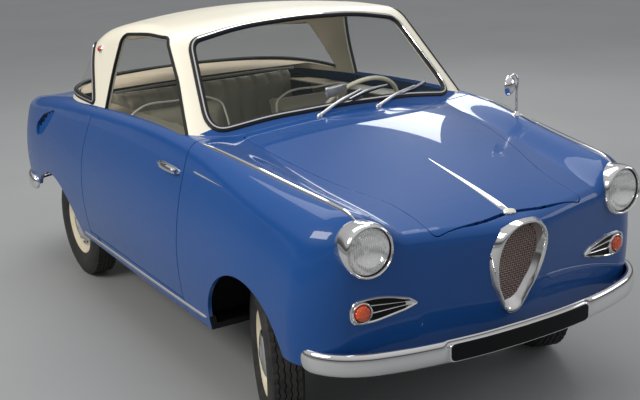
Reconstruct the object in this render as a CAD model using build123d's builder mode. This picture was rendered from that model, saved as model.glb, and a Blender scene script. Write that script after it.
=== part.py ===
from build123d import *
import os
from math import cos, radians, sin

os.makedirs("parts", exist_ok=True)

# Microcar coupe, millimetres. Origin on the ground under the middle of the car, +Z up.
# The nose points to -Y, and +X is the car's left-hand side.

# Driving dimensions of the whole car
CAR_LENGTH = 3035.0
BODY_HALF_WIDTH = 684.0
ROOF_TOP_Z = 1235.0
WHEELBASE = 1800.0
FRONT_AXLE_Y = -915.0
REAR_AXLE_Y = FRONT_AXLE_Y + WHEELBASE
HALF_TRACK = 545.0
SILL_Z = 262.0
WAIST_Z = 540.0
FRONT_END_Y = -CAR_LENGTH / 2
REAR_END_Y = CAR_LENGTH / 2

# Wall thicknesses and clearances
SKIN = 20.0
DOOR_WALL = 52.0
ROOF_WALL = 28.0
GLASS_DEPTH = 8.0
GLASS = 5.0
SEAT_GAP = 0.3
SHUT_GAP = 6.0
DOOR_FRONT_GAP = 13.0

# Tyres and rims
TYRE_R = 243.0
TYRE_W = 118.0
TYRE_SHOULDER = 26.0
RIM_FLANGE_R = 143.0
RIM_SEAT_R = 128.0
RIM_W = 96.0
RIM_WALL = 8.0
RIM_DISC_OUT = 14.0
HUBCAP_R = 88.0
HUBCAP_RISE = 26.0
STUB_R = 12.0

# Steering: the front wheels are stored turned to the car's right, as the car is parked
STEER_REST = 20.0
KINGPIN_INSET = 30.0
KINGPIN_X = HALF_TRACK - KINGPIN_INSET
KINGPIN_R = 7.0
KNUCKLE_R = 17.0
KNUCKLE_HALF = 48.0

# Body sections from nose to tail
# y, sill x, waist x, shoulder x, shoulder z, crown x, crown z, valley x, valley z, centre z
BODY_SECTIONS = [
    (-1530, 600, 598, 586, 652, 474, 776, 385, 700, 706),
    (-1384, 628, 642, 608, 690, 492, 797, 388, 742, 745),
    (-1046, 645, 668, 634, 748, 530, 831, 430, 798, 816),
    (-560, 655, BODY_HALF_WIDTH - 3, 632, 828, 588, 882, 470, 872, 905),
    (400, 655, BODY_HALF_WIDTH, 636, 822, 604, 862, 450, 880, 905),
    (980, 650, 680, 640, 758, 590, 817, 440, 838, 872),
    (1300, 640, 664, 630, 712, 579, 774, 450, 764, 788),
    (1530, 618, 634, 604, 670, 570, 736, 430, 650, 664),
]

# Outlines of the body seen from above, at rising heights
# z, nose centre y, nose side y, tail centre y, tail side y
PLAN_SECTIONS = [
    (200, -1388, -1322, 1390, 1352),
    (430, -1424, -1340, 1462, 1428),
    (700, -1484, -1366, 1502, 1486),
    (960, -1500, -1372, 1494, 1490),
]
PROW_X = 190.0
PROW_DEPTH = 32.0
CORNER_X = 548.0
CORNER_END_X = 668.0
CORNER_LENGTH = 125.0
OUTSIDE_X = 740.0

# Greenhouse outlines at the belt and at the eaves
BELT_Z = 880.0
EAVES_Z = 1180.0
# front centre y, corner x, corner y, side rear x, side rear y, rear bend x, y, rear flank x, y, rear centre y
GREENHOUSE_BELT = (-560, 600, -455, 594, 540, 545, 850, 330, 1035, 1085)
GREENHOUSE_EAVES = (-257, 527, -165, 508, 440, 462, 650, 290, 745, 788)
PILLAR_CORNER = 38.0

# Roof sections: y, z at the eaves, z at the crown
ROOF_SECTIONS = [
    (-430, 1140, 1190),
    (-190, 1200, 1231),
    (50, 1212, ROOF_TOP_Z),
    (300, 1198, 1228),
    (480, 1170, 1204),
    (650, 1128, 1164),
    (850, 1052, 1086),
    (1150, 915, 940),
]
EAVES_X = 430.0
EAVES_EDGE_X = 540.0
EAVES_DROP = 48.0

# Door and window outlines on the side of the car, as y and z
DOOR_OUTLINE = [
    (-506, 960),
    (-506, 800),
    (-486, 610),
    (-462, 312),
    (498, 312),
    (498, 560),
    (486, 664),
    (434, 820),
    (424, 960),
]
SIDE_WINDOW = [(-425, 884), (-148, 1174), (296, 1144), (362, 872)]
SIDE_WINDOW_R = 26.0
REAR_WINDOW = [(488, 884), (598, 1074), (850, 1038), (1500, 1038), (1500, 896), (900, 896)]
WINDSCREEN_FOOT_X = 492.0
WINDSCREEN_FOOT_Z = 902.0
WINDSCREEN_FOOT_CROWN = 938.0
WINDSCREEN_TOP_X = 428.0
WINDSCREEN_TOP_Z = 1160.0
WINDSCREEN_TOP_CROWN = 1203.0
WINDSCREEN_R = 45.0

# Hood and engine lid outlines seen from above, half of each, as x and y
HOOD_OUTLINE = [(398, -560), (420, -700), (368, -998), (290, -1270), (286, -1560)]
HOOD_REAR_CENTRE_Y = -655.0
HOOD_FLOOR_Z = 702.0
LID_OUTLINE = [(372, 1168), (352, 1430)]
LID_FLOOR_Z = 600.0

# Wheel arches: centre y, centre z, radius
FRONT_ARCH = (-920.0, 268.0, 262.0)
REAR_ARCH = (945.0, 150.0, 330.0)
ARCH_INNER_X = 335.0

# Door hinge line and the inner rooms
DOOR_HINGE_X = BODY_HALF_WIDTH + 4.0
DOOR_HINGE_Y = 505.0
DOOR_HINGE_R = 8.0
DOOR_HINGE_Z = ((420.0, 470.0), (520.0, 570.0))
FIREWALL_Y = -560.0
BULKHEAD_Y = 740.0
WALL = 12.0
FLOOR_Z = SILL_Z + SKIN
FLOOR_END_Y = 640.0
TRAY_Z = 380.0
TRAY_TOP_Z = 690.0
TRAY_FRONT_Y = -1330.0
RAIL_X = 270.0
RAIL_HALF = 25.0
RAIL_LOW_Z = 320.3
WHEELHOUSE_X = 466.0
WHEELHOUSE_Z = 514.0
SHELF_Z = 842.0
TUNNEL_X = 60.0
TUNNEL_Z = 370.0
DOOR_PANEL_TOP_Z = WAIST_Z + 240.0
SEAT_RAIL_Y = (-100.0, 270.0)
REAR_BEAM_Y = 1330.0
REAR_BEAM_T = 30.0
REAR_BEAM_Z = (300.0, 360.0)
HOOD_BUFFER_X = (330.0, 380.0)
BUFFER_REACH = 44.0
LID_RAIL_HALF = 15.0

# Towing lug on the rear beam
TOW_LUG = 12.0
TOW_LUG_HALF = 26.0
TOW_HOLE_R = 14.0
TOW_Y = REAR_BEAM_Y + 50.0
TOW_LUG_Z = REAR_BEAM_Z[0]

# Jack pads under the sills: middle, half sizes and depth
JACK_PAD = (BODY_HALF_WIDTH - 124.0, -300.0)
JACK_PAD_HALF = (35.0, 45.0)
JACK_PAD_DEPTH = 6.0

# Wipers, mirror, pillar lamps and door handles
WIPER_PIVOT = (126.0, -560.0, 893.0)
WIPER_STAND = 16.0
MIRROR_BASE = (546.0, -815.0)
MIRROR_HEAD = (556.0, -800.0, 962.0)
MIRROR_R = 45.0
PILLAR_LAMP = (508.0, 1078.0)
PILLAR_LAMP_R = 14.0
HANDLE_Y = (-470.0, -305.0)
HANDLE_Z = 787.0
HANDLE_SKIN_X = BODY_HALF_WIDTH - 38.0
HANDLE_R = 7.0
HANDLE_STAND = 22.0

# Seats: each front seat's inner and outer edge, then the bench
SEAT_X = (75.0, 520.0)
SEAT_BASE_Z = 330.0
DRIVER_SEAT_AHEAD = 150.0
SEAT_OUTLINE = [
    (-150, 330),
    (-160, 450),
    (-120, 480),
    (230, 450),
    (326, 820),
    (360, 845),
    (410, 836),
    (396, 788),
    (325, 400),
    (300, 330),
]
BENCH_HALF = 452.0
BENCH_REAR_Y = BULKHEAD_Y - SEAT_GAP
BENCH_OUTLINE = [
    (440, 283),
    (430, 410),
    (460, 440),
    (600, 425),
    (650, 850),
    (680, 872),
    (720, 862),
    (BENCH_REAR_Y, 820),
    (BENCH_REAR_Y, 283),
]
SEAT_R = 12.0

# Engine with its gearbox, and the axle tubes
ENGINE = (190.0, 960.0, 230.0, 560.0)
GEARBOX = (110.0, 800.0, 190.0, 350.0)
AXLE_TUBE_R = 20.0
TRAILING_ARM_X = 405.0
TRAILING_ARM_HALF = 25.0

# Front beam and arms
BEAM_X = 300.0
BEAM_HALF = 25.0
BEAM_LOW_Z = 168.0
ARM_THICK = 14.0
ARM_HALF = 15.0

# Steering wheel and column
WHEEL_X = 300.0
WHEEL_Y = -125.0
WHEEL_Z = 790.0
WHEEL_TILT = 33.0
WHEEL_R = 185.0
WHEEL_RIM_R = 9.0
COLUMN_R = 16.0
DASH_X = 545.0
DASH_Y = -405.0
DASH_Z = (700.0, 858.0)

# Bumpers: height, wall, and the plan of each
BUMPER_Z = (334.0, 411.0)
BUMPER_WALL = 16.0
BUMPER_FRONT_Y = -1505.0
BUMPER_BEND = (560.0, -1402.0)
BUMPER_END = (672.0, -1290.0)
BUMPER_REAR_BEND = (566.0, 1458.0)
BUMPER_REAR_END = (684.0, 1205.0)
BUMPER_IRON_X = 300.0
PLATE_HALF = 272.0
PLATE_Z = (346.0, 402.0)
PLATE_DEPTH = 8.0
REAR_PLATE = (130.0, 1508.0, 440.0, 550.0)

# Lamps
LAMP_X = 490.0
LAMP_Z = 711.0
LAMP_FACE_Y = -1402.0
LAMP_RIM_R = 85.0
LAMP_LENS_R = 71.0
LAMP_LENS_RISE = 14.0
INDICATOR_Z = 527.0
INDICATOR_X = (318.0, 540.0)
INDICATOR_HALF = 36.0
INDICATOR_PROUD = 12.0
INDICATOR_LENS_X = 500.0
INDICATOR_LENS_R = 26.0
TAIL_LAMP_X = 520.0
TAIL_LAMP_Z = 632.0
TAIL_LAMP_R = 34.0

# Grille on the sloping nose: the slope's foot, its lean, and half an outline along the slope
GRILLE_FOOT = (-1424.0, 430.0)
GRILLE_LEAN = 12.5
GRILLE_FRAME = 20.0
GRILLE_PROUD = 33.0
DOOR_LOW_Z = 312.0
DOOR_BELT_X = 604.0
DOOR_INNER_X = 556.0
GLASS_FOOT = 50.0
WINDSCREEN_BACK_Y = -150.0

# Where the fixed panels meet
NOSE_FOOT_X = 546.0
NOSE_STEP_Z = 500.0
NOSE_TOP_X = 345.0
COWL_X = 470.0
DECK_X = 430.0
VALANCE_Z = 325.0


def body_hull(inset):
    """Closed body below the glass, moved inwards by inset."""
    with BuildPart() as along:
        for y, sill, waist, sh_x, sh_z, cr_x, cr_z, va_x, va_z, ce_z in BODY_SECTIONS:
            low = (sill - inset, SILL_Z + inset)
            side = (waist - inset, WAIST_Z)
            shoulder = (sh_x - inset, sh_z - 0.4 * inset)
            crown = (cr_x - 0.5 * inset, cr_z - inset)
            roll = ((shoulder[0] + crown[0]) / 2 + 14, (shoulder[1] + crown[1]) / 2 + 14)
            valley = (va_x, va_z - inset)
            with BuildSketch(Plane.XZ.offset(-y)):
                with BuildLine():
                    Line((-low[0], low[1]), low)
                    ThreePointArc(low, side, shoulder)
                    ThreePointArc(shoulder, roll, crown)
                    Line(crown, valley)
                    ThreePointArc(valley, (0, ce_z - inset), (-valley[0], valley[1]))
                    Line((-valley[0], valley[1]), (-crown[0], crown[1]))
                    ThreePointArc((-crown[0], crown[1]), (-roll[0], roll[1]), (-shoulder[0], shoulder[1]))
                    ThreePointArc((-shoulder[0], shoulder[1]), (-side[0], side[1]), (-low[0], low[1]))
                make_face()
        loft(ruled=True)
    with BuildPart() as upward:
        for z, nose, nose_side, tail, tail_side in PLAN_SECTIONS:
            nose_y = nose + inset
            nose_edge = nose_side + inset
            tail_y = tail - inset
            tail_edge = tail_side - inset
            corner = CORNER_X - 0.4 * inset
            corner_end = CORNER_END_X - inset
            bend = corner + 0.72 * (corner_end - corner)
            nose_turn = nose_edge + CORNER_LENGTH
            tail_turn = tail_edge - CORNER_LENGTH
            nose_out = (OUTSIDE_X, nose_edge + 4 * CORNER_LENGTH)
            tail_out = (OUTSIDE_X, tail_edge - 4 * CORNER_LENGTH)
            prow_y = nose_y + PROW_DEPTH
            with BuildSketch(Plane.XY.offset(z)):
                with BuildLine():
                    ThreePointArc((-PROW_X, prow_y), (0, nose_y), (PROW_X, prow_y))
                    Line((PROW_X, prow_y), (corner, nose_edge))
                    ThreePointArc((corner, nose_edge), (bend, nose_edge + 36), (corner_end, nose_turn))
                    Line((corner_end, nose_turn), nose_out)
                    Line(nose_out, tail_out)
                    Line(tail_out, (corner_end, tail_turn))
                    ThreePointArc((corner_end, tail_turn), (bend, tail_edge - 36), (corner, tail_edge))
                    ThreePointArc((corner, tail_edge), (0, tail_y), (-corner, tail_edge))
                    ThreePointArc((-corner, tail_edge), (-bend, tail_edge - 36), (-corner_end, tail_turn))
                    Line((-corner_end, tail_turn), (-tail_out[0], tail_out[1]))
                    Line((-tail_out[0], tail_out[1]), (-nose_out[0], nose_out[1]))
                    Line((-nose_out[0], nose_out[1]), (-corner_end, nose_turn))
                    ThreePointArc((-corner_end, nose_turn), (-bend, nose_edge + 36), (-corner, nose_edge))
                    Line((-corner, nose_edge), (-PROW_X, prow_y))
                make_face()
        loft(ruled=True)
    return along.part & upward.part


def greenhouse(inset):
    """Closed cabin top with its roof, moved inwards by inset."""
    with BuildPart() as cone:
        for z in (760, 1270):
            rise = (z - BELT_Z) / (EAVES_Z - BELT_Z)
            values = [low + rise * (high - low) for low, high in zip(GREENHOUSE_BELT, GREENHOUSE_EAVES)]
            nose, cor_x, cor_y, side_x, side_y, bend_x, bend_y, flank_x, flank_y, tail = values
            cor_x -= inset
            side_x -= inset
            bend_x -= 0.9 * inset
            bend_y -= 0.45 * inset
            flank_x -= 0.4 * inset
            flank_y -= 0.9 * inset
            nose += inset
            cor_y += inset
            tail -= inset
            front = (cor_x - PILLAR_CORNER, cor_y)
            turn = (cor_x - 0.3 * PILLAR_CORNER, cor_y + 0.3 * PILLAR_CORNER)
            side = (cor_x, cor_y + PILLAR_CORNER)
            with BuildSketch(Plane.XY.offset(z)):
                with BuildLine():
                    ThreePointArc((-front[0], front[1]), (0, nose), front)
                    ThreePointArc(front, turn, side)
                    Line(side, (side_x, side_y))
                    ThreePointArc((side_x, side_y), (bend_x, bend_y), (flank_x, flank_y))
                    ThreePointArc((flank_x, flank_y), (0, tail), (-flank_x, flank_y))
                    ThreePointArc((-flank_x, flank_y), (-bend_x, bend_y), (-side_x, side_y))
                    Line((-side_x, side_y), (-side[0], side[1]))
                    ThreePointArc((-side[0], side[1]), (-turn[0], turn[1]), (-front[0], front[1]))
                make_face()
        loft(ruled=True)
    with BuildPart() as roof_block:
        for y, eaves, crown in ROOF_SECTIONS:
            edge = (EAVES_EDGE_X - inset, eaves - EAVES_DROP)
            roll = (EAVES_EDGE_X - 26 - 0.7 * inset, eaves - 14 - 0.7 * inset)
            shelf = (EAVES_X, eaves - inset)
            out = (OUTSIDE_X + 20, eaves - 3 * EAVES_DROP)
            foot = (OUTSIDE_X + 20, 700)
            with BuildSketch(Plane.XZ.offset(-y)):
                with BuildLine():
                    Line((-foot[0], foot[1]), foot)
                    Line(foot, out)
                    Line(out, edge)
                    ThreePointArc(edge, roll, shelf)
                    ThreePointArc(shelf, (0, crown - inset), (-shelf[0], shelf[1]))
                    ThreePointArc((-shelf[0], shelf[1]), (-roll[0], roll[1]), (-edge[0], edge[1]))
                    Line((-edge[0], edge[1]), (-out[0], out[1]))
                    Line((-out[0], out[1]), (-foot[0], foot[1]))
                make_face()
        loft(ruled=True)
    return cone.part & roof_block.part


def side_prism(points, radius=0.0, offset_by=0.0, x_from=300.0, x_to=760.0):
    """Prism across the car's left side from a y, z outline."""
    with BuildPart() as prism:
        with BuildSketch(Plane.YZ.offset(x_from)) as outline:
            Polygon(*points, align=None)
            if radius:
                fillet(outline.vertices(), radius)
            if offset_by:
                offset(amount=offset_by)
        extrude(amount=x_to - x_from)
    return prism.part


def plan_prism(points, z_from, z_to, offset_by=0.0, rear_arc=None):
    """Prism upwards from half an outline in x, y, mirrored about the middle of the car."""
    with BuildPart() as prism:
        with BuildSketch(Plane.XY.offset(z_from)):
            with BuildLine():
                right = [(-x, y) for x, y in reversed(points)]
                if rear_arc is None:
                    Line(right[-1], points[0])
                else:
                    ThreePointArc(right[-1], (0, rear_arc), points[0])
                for a, b in zip(points, points[1:]):
                    Line(a, b)
                Line(points[-1], right[0])
                for a, b in zip(right, right[1:]):
                    Line(a, b)
            make_face()
            if offset_by:
                offset(amount=offset_by)
        extrude(amount=z_to - z_from)
    return prism.part


def block(x0, x1, y0, y1, z0, z1):
    """Box between two corners."""
    low = Vector(x0, y0, z0)
    size = Vector(x1 - x0, y1 - y0, z1 - z0)
    return Pos(*low) * Box(size.X, size.Y, size.Z, align=(Align.MIN, Align.MIN, Align.MIN), mode=Mode.PRIVATE)


def rod(start, end, radius):
    """Round bar from one point to another."""
    way = Vector(*end) - Vector(*start)
    plane = Plane(origin=start, z_dir=way)
    on_end = (Align.CENTER, Align.CENTER, Align.MIN)
    return plane * Cylinder(radius, way.length, align=on_end, mode=Mode.PRIVATE)


def dome_height(radius, rise):
    """Height of a round dome half-way out from its middle, above its edge."""
    sphere = (radius ** 2 + rise ** 2) / (2 * rise)
    return rise - sphere + (sphere ** 2 - radius ** 2 / 4) ** 0.5


def save(name, shape):
    """Label a finished piece and write it."""
    shape.label = name
    export_step(shape, f"parts/{name}.step")


# Shells and cutters that several panels share
hull = body_hull(0)
hull_seat = body_hull(-SEAT_GAP)
hull_core = body_hull(SKIN)
door_core = body_hull(DOOR_WALL)
cabin_top = greenhouse(0)
cabin_core = greenhouse(ROOF_WALL)
glass_outer = greenhouse(GLASS_DEPTH)
glass_inner = greenhouse(GLASS_DEPTH + GLASS)

hood_hole = plan_prism(HOOD_OUTLINE, HOOD_FLOOR_Z, 1000, 0.0, HOOD_REAR_CENTRE_Y)
hood_block = plan_prism(HOOD_OUTLINE, HOOD_FLOOR_Z + SHUT_GAP, 1000, -SHUT_GAP, HOOD_REAR_CENTRE_Y)
lid_hole = plan_prism(LID_OUTLINE, LID_FLOOR_Z, 1000)
lid_block = plan_prism(LID_OUTLINE, LID_FLOOR_Z, 1000, -SHUT_GAP)


def with_mirror(shape):
    """The shape joined with its mirror image across the middle of the car."""
    return shape + mirror(shape, about=Plane.YZ, mode=Mode.PRIVATE)


def door_zone(front, rear, low):
    """Left door's share of the body: all of the side, and the belt only along the window."""
    outline = [(y + front if y < 0 else y - rear, max(z, DOOR_LOW_Z + low)) for y, z in DOOR_OUTLINE]
    belt = [
        (SIDE_WINDOW[0][0] - 2 * DOOR_FRONT_GAP + front, 700),
        (SIDE_WINDOW[0][0] - 2 * DOOR_FRONT_GAP + front, 960),
        (SIDE_WINDOW[3][0] + 2 * SHUT_GAP - rear, 960),
        (SIDE_WINDOW[3][0] + 2 * SHUT_GAP - rear, 700),
    ]
    outer = side_prism(outline, x_from=DOOR_BELT_X + low)
    inner = side_prism(belt, x_from=DOOR_INNER_X)
    lower = side_prism([(y, min(z, DOOR_PANEL_TOP_Z)) for y, z in outline], x_from=DOOR_INNER_X)
    return outer + inner + lower


def window_hole(ahead, around):
    """Left side window's hole, with room ahead of the glass and around it."""
    front_low, front_high, rear_high, rear_low = SIDE_WINDOW
    points = [
        (front_low[0] - ahead, front_low[1] - GLASS_FOOT),
        (front_low[0] - ahead, front_low[1]),
        (front_high[0] - ahead, front_high[1] + around),
        (rear_high[0] + around, rear_high[1] + around),
        (rear_low[0] + around, rear_low[1]),
        (rear_low[0] + around, rear_low[1] - GLASS_FOOT),
    ]
    return side_prism(points)


def windscreen_block(inset):
    """Block through the windscreen opening, moved inwards by inset."""
    low = (WINDSCREEN_FOOT_X, WINDSCREEN_FOOT_Z)
    high = (WINDSCREEN_TOP_X, WINDSCREEN_TOP_Z)
    with BuildPart() as opening:
        with BuildSketch(Plane.XZ.offset(-WINDSCREEN_BACK_Y)) as outline:
            with BuildLine():
                ThreePointArc((-low[0], low[1]), (0, WINDSCREEN_FOOT_CROWN), low)
                Line(low, high)
                ThreePointArc(high, (0, WINDSCREEN_TOP_CROWN), (-high[0], high[1]))
                Line((-high[0], high[1]), (-low[0], low[1]))
            make_face()
            fillet(outline.vertices(), WINDSCREEN_R)
            if inset:
                offset(amount=-inset)
        extrude(amount=600)
    return opening.part


door_hole = door_zone(0, 0, 0)
door_block = door_zone(DOOR_FRONT_GAP, SHUT_GAP, SHUT_GAP)
glass_slot = greenhouse(GLASS_DEPTH - SEAT_GAP) - greenhouse(GLASS_DEPTH + GLASS + SEAT_GAP)
glass_sheet = glass_outer - glass_inner
rear_window_block = side_prism(REAR_WINDOW, x_from=-OUTSIDE_X, x_to=OUTSIDE_X)
rear_glass_block = side_prism(REAR_WINDOW, offset_by=-SEAT_GAP, x_from=-OUTSIDE_X, x_to=OUTSIDE_X)
front_arch = rod((ARCH_INNER_X, *FRONT_ARCH[:2]), (OUTSIDE_X, *FRONT_ARCH[:2]), FRONT_ARCH[2])
rear_arch = rod((ARCH_INNER_X, *REAR_ARCH[:2]), (OUTSIDE_X, *REAR_ARCH[:2]), REAR_ARCH[2])

sill_zone = block(-OUTSIDE_X, OUTSIDE_X, -690, FLOOR_END_Y, 200, DOOR_LOW_Z)
nose_zone = block(-NOSE_FOOT_X, NOSE_FOOT_X, -1600, -1200, 200, NOSE_STEP_Z)
nose_zone += block(-NOSE_TOP_X, NOSE_TOP_X, -1600, -1200, NOSE_STEP_Z - 1, 1000)
cowl_zone = block(-COWL_X, COWL_X, -720, -400, 700, 1000)
deck_zone = block(-DECK_X, DECK_X, 1000, 1600, 200, 1000)
low_ends = block(-OUTSIDE_X, OUTSIDE_X, -1600, -1180, 200, VALANCE_Z)
low_ends += block(-OUTSIDE_X, OUTSIDE_X, 1250, 1600, 200, VALANCE_Z)
low_ends += block(-OUTSIDE_X, OUTSIDE_X, -1600, -690, 200, FLOOR_Z)
low_ends += block(-OUTSIDE_X, OUTSIDE_X, FLOOR_END_Y, 1600, 200, FLOOR_Z)

with BuildPart() as shell:
    add(hull)
    add(hull_core, mode=Mode.SUBTRACT)
    add(cabin_core, mode=Mode.SUBTRACT)
    add(with_mirror(front_arch), mode=Mode.SUBTRACT)
    add(with_mirror(rear_arch), mode=Mode.SUBTRACT)
    add(low_ends, mode=Mode.SUBTRACT)

fixed_skin = shell.part - hood_hole - lid_hole - with_mirror(door_hole)

with BuildPart() as nose_panel:
    add(fixed_skin)
    add(nose_zone, mode=Mode.INTERSECT)
save("nose_panel", nose_panel.part)

with BuildPart() as cowl:
    add(fixed_skin)
    add(cowl_zone, mode=Mode.INTERSECT)
save("cowl", cowl.part)

with BuildPart() as fender_left:
    add(fixed_skin)
    add(block(0, OUTSIDE_X, -1600, -400, 200, 1000), mode=Mode.INTERSECT)
    add(nose_zone, mode=Mode.SUBTRACT)
    add(cowl_zone, mode=Mode.SUBTRACT)
    add(sill_zone, mode=Mode.SUBTRACT)
    add(block(0, ARCH_INNER_X + 200, -1600, -400, 200, 400), mode=Mode.SUBTRACT)
save("fender_left", fender_left.part)
save("fender_right", mirror(fender_left.part, about=Plane.YZ))

with BuildPart() as quarter_left:
    add(fixed_skin)
    add(block(0, OUTSIDE_X, 300, 1600, 200, 1000), mode=Mode.INTERSECT)
    add(deck_zone, mode=Mode.SUBTRACT)
    add(sill_zone, mode=Mode.SUBTRACT)
    for low, high in DOOR_HINGE_Z:
        add(rod((DOOR_HINGE_X, DOOR_HINGE_Y, low), (DOOR_HINGE_X, DOOR_HINGE_Y, high), DOOR_HINGE_R))
    add(block(0, ARCH_INNER_X + 200, 300, 1600, 200, 400), mode=Mode.SUBTRACT)
save("quarter_left", quarter_left.part)
save("quarter_right", mirror(quarter_left.part, about=Plane.YZ))

with BuildPart() as rear_deck:
    add(fixed_skin)
    add(deck_zone, mode=Mode.INTERSECT)
save("rear_deck", rear_deck.part)

with BuildPart() as hood:
    add(shell.part)
    add(hood_block, mode=Mode.INTERSECT)
save("hood", hood.part)

with BuildPart() as engine_lid:
    add(shell.part)
    add(lid_block, mode=Mode.INTERSECT)
save("engine_lid", engine_lid.part)

with BuildPart() as door_left:
    add(hull)
    add(door_core, mode=Mode.SUBTRACT)
    add(cabin_core, mode=Mode.SUBTRACT)
    add(door_block, mode=Mode.INTERSECT)
    add(glass_slot & block(0, OUTSIDE_X, SIDE_WINDOW[0][0] - SEAT_GAP, SIDE_WINDOW[3][0] + SEAT_GAP, 700, 1000),
        mode=Mode.SUBTRACT)
save("door_left", door_left.part)
save("door_right", mirror(door_left.part, about=Plane.YZ))

with BuildPart() as door_glass_left:
    add(glass_sheet)
    add(window_hole(0, 0), mode=Mode.INTERSECT)
save("door_glass_left", door_glass_left.part)
save("door_glass_right", mirror(door_glass_left.part, about=Plane.YZ))

with BuildPart() as roof:
    add(cabin_top)
    add(cabin_core, mode=Mode.SUBTRACT)
    add(hull_seat, mode=Mode.SUBTRACT)
    add(with_mirror(window_hole(DOOR_FRONT_GAP, SHUT_GAP)), mode=Mode.SUBTRACT)
    add(windscreen_block(0), mode=Mode.SUBTRACT)
    add(rear_window_block, mode=Mode.SUBTRACT)
save("roof", roof.part)

with BuildPart() as windscreen:
    add(glass_sheet)
    add(windscreen_block(SEAT_GAP), mode=Mode.INTERSECT)
save("windscreen", windscreen.part)

with BuildPart() as rear_window:
    add(glass_sheet)
    add(rear_glass_block, mode=Mode.INTERSECT)
save("rear_window", rear_window.part)


# Jack pads, towing lug and the rubbers that the lids rest on
jack_pad = block(
    JACK_PAD[0] - JACK_PAD_HALF[0],
    JACK_PAD[0] + JACK_PAD_HALF[0],
    JACK_PAD[1] - JACK_PAD_HALF[1],
    JACK_PAD[1] + JACK_PAD_HALF[1],
    SILL_Z - JACK_PAD_DEPTH,
    SILL_Z + JACK_PAD_DEPTH,
)
tow_lug = block(
    -TOW_LUG_HALF,
    TOW_LUG_HALF,
    REAR_BEAM_Y + REAR_BEAM_T / 2,
    TOW_Y + TOW_LUG_HALF,
    TOW_LUG_Z,
    TOW_LUG_Z + TOW_LUG,
)
tow_hole = rod((0, TOW_Y, TOW_LUG_Z - TOW_LUG), (0, TOW_Y, TOW_LUG_Z + 2 * TOW_LUG), TOW_HOLE_R)
hood_buffer = block(*HOOD_BUFFER_X, FIREWALL_Y - BUFFER_REACH, FIREWALL_Y + WALL, 800, 900)
lid_rail = block(-LID_RAIL_HALF, LID_RAIL_HALF, 1000, LID_OUTLINE[0][1] + BUFFER_REACH / 2, SHELF_Z - 62, 900)

# Floor with its tunnel, seat rails and rear step
with BuildPart() as platform:
    add(fixed_skin)
    add(sill_zone, mode=Mode.INTERSECT)
    add(block(-TUNNEL_X, TUNNEL_X, FIREWALL_Y, BENCH_OUTLINE[1][0] - 5, FLOOR_Z - 5, TUNNEL_Z))
    for x in (SEAT_X[0] + 60, SEAT_X[1] - 60):
        for side, moved in ((-1, 0), (1, -DRIVER_SEAT_AHEAD)):
            rail_y = (SEAT_RAIL_Y[0] + moved, SEAT_RAIL_Y[1] + moved)
            add(block(side * x - 10, side * x + 10, *rail_y, FLOOR_Z - 5, SEAT_BASE_Z - SEAT_GAP))
    add(block(-WHEELHOUSE_X, WHEELHOUSE_X, FLOOR_END_Y - 5, BULKHEAD_Y + WALL, SILL_Z, FLOOR_Z))
    add(with_mirror(jack_pad))
save("platform", platform.part)

# Firewall
with BuildPart() as firewall:
    add(block(-600, 600, FIREWALL_Y, FIREWALL_Y + WALL, FLOOR_Z, 900))
    add(hull_core, mode=Mode.INTERSECT)
    add(with_mirror(hood_buffer) & body_hull(SKIN + SEAT_GAP))
    add(platform.part, mode=Mode.SUBTRACT)
save("firewall", firewall.part)

# Luggage tray between the front wheelhouses, on its rails
tray_side = block(ARCH_INNER_X - WALL, ARCH_INNER_X, TRAY_FRONT_Y, FIREWALL_Y, TRAY_Z, TRAY_TOP_Z)
tray_side += block(ARCH_INNER_X - WALL, 640, -1290, FIREWALL_Y, TRAY_TOP_Z - WALL, TRAY_TOP_Z)
tray_side += block(RAIL_X - RAIL_HALF, RAIL_X + RAIL_HALF, TRAY_FRONT_Y, -650, RAIL_LOW_Z, TRAY_Z)
tray_side += block(RAIL_X - RAIL_HALF, RAIL_X + RAIL_HALF, -690, -600, SILL_Z, TRAY_Z)
with BuildPart() as luggage_tray:
    add(block(-ARCH_INNER_X, ARCH_INNER_X, TRAY_FRONT_Y, FIREWALL_Y, TRAY_Z, TRAY_Z + WALL))
    add(block(-ARCH_INNER_X, ARCH_INNER_X, TRAY_FRONT_Y, TRAY_FRONT_Y + WALL, TRAY_Z, TRAY_TOP_Z))
    add(with_mirror(tray_side))
    add(hull_core, mode=Mode.INTERSECT)
    add(platform.part, mode=Mode.SUBTRACT)
    add(firewall.part, mode=Mode.SUBTRACT)
save("luggage_tray", luggage_tray.part)

# Rear bulkhead with the parcel shelf
with BuildPart() as rear_bulkhead:
    add(block(-WHEELHOUSE_X, WHEELHOUSE_X, BULKHEAD_Y, BULKHEAD_Y + WALL, FLOOR_Z, SHELF_Z))
    add(block(-480, 480, BULKHEAD_Y, 1050, SHELF_Z, SHELF_Z + WALL))
    add(hull_core, mode=Mode.INTERSECT)
    add(lid_rail & body_hull(SKIN + SEAT_GAP))
    add(platform.part, mode=Mode.SUBTRACT)
save("rear_bulkhead", rear_bulkhead.part)

# Rear wheelhouses, joined by the rear beam with the towing lug
house = block(WHEELHOUSE_X - WALL / 2, WHEELHOUSE_X + WALL / 2, 610, REAR_BEAM_Y + REAR_BEAM_T, FLOOR_Z, WHEELHOUSE_Z)
house += block(
    WHEELHOUSE_X - WALL / 2, 670, 610, REAR_BEAM_Y + REAR_BEAM_T, WHEELHOUSE_Z - WALL, WHEELHOUSE_Z
)
with BuildPart() as rear_wheelhouses:
    add(block(-WHEELHOUSE_X, WHEELHOUSE_X, REAR_BEAM_Y, REAR_BEAM_Y + REAR_BEAM_T, *REAR_BEAM_Z))
    add(with_mirror(house))
    add(hull_core, mode=Mode.INTERSECT)
    add(tow_lug)
    add(tow_hole, mode=Mode.SUBTRACT)
    add(platform.part, mode=Mode.SUBTRACT)
    add(rear_bulkhead.part, mode=Mode.SUBTRACT)
save("rear_wheelhouses", rear_wheelhouses.part)


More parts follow.
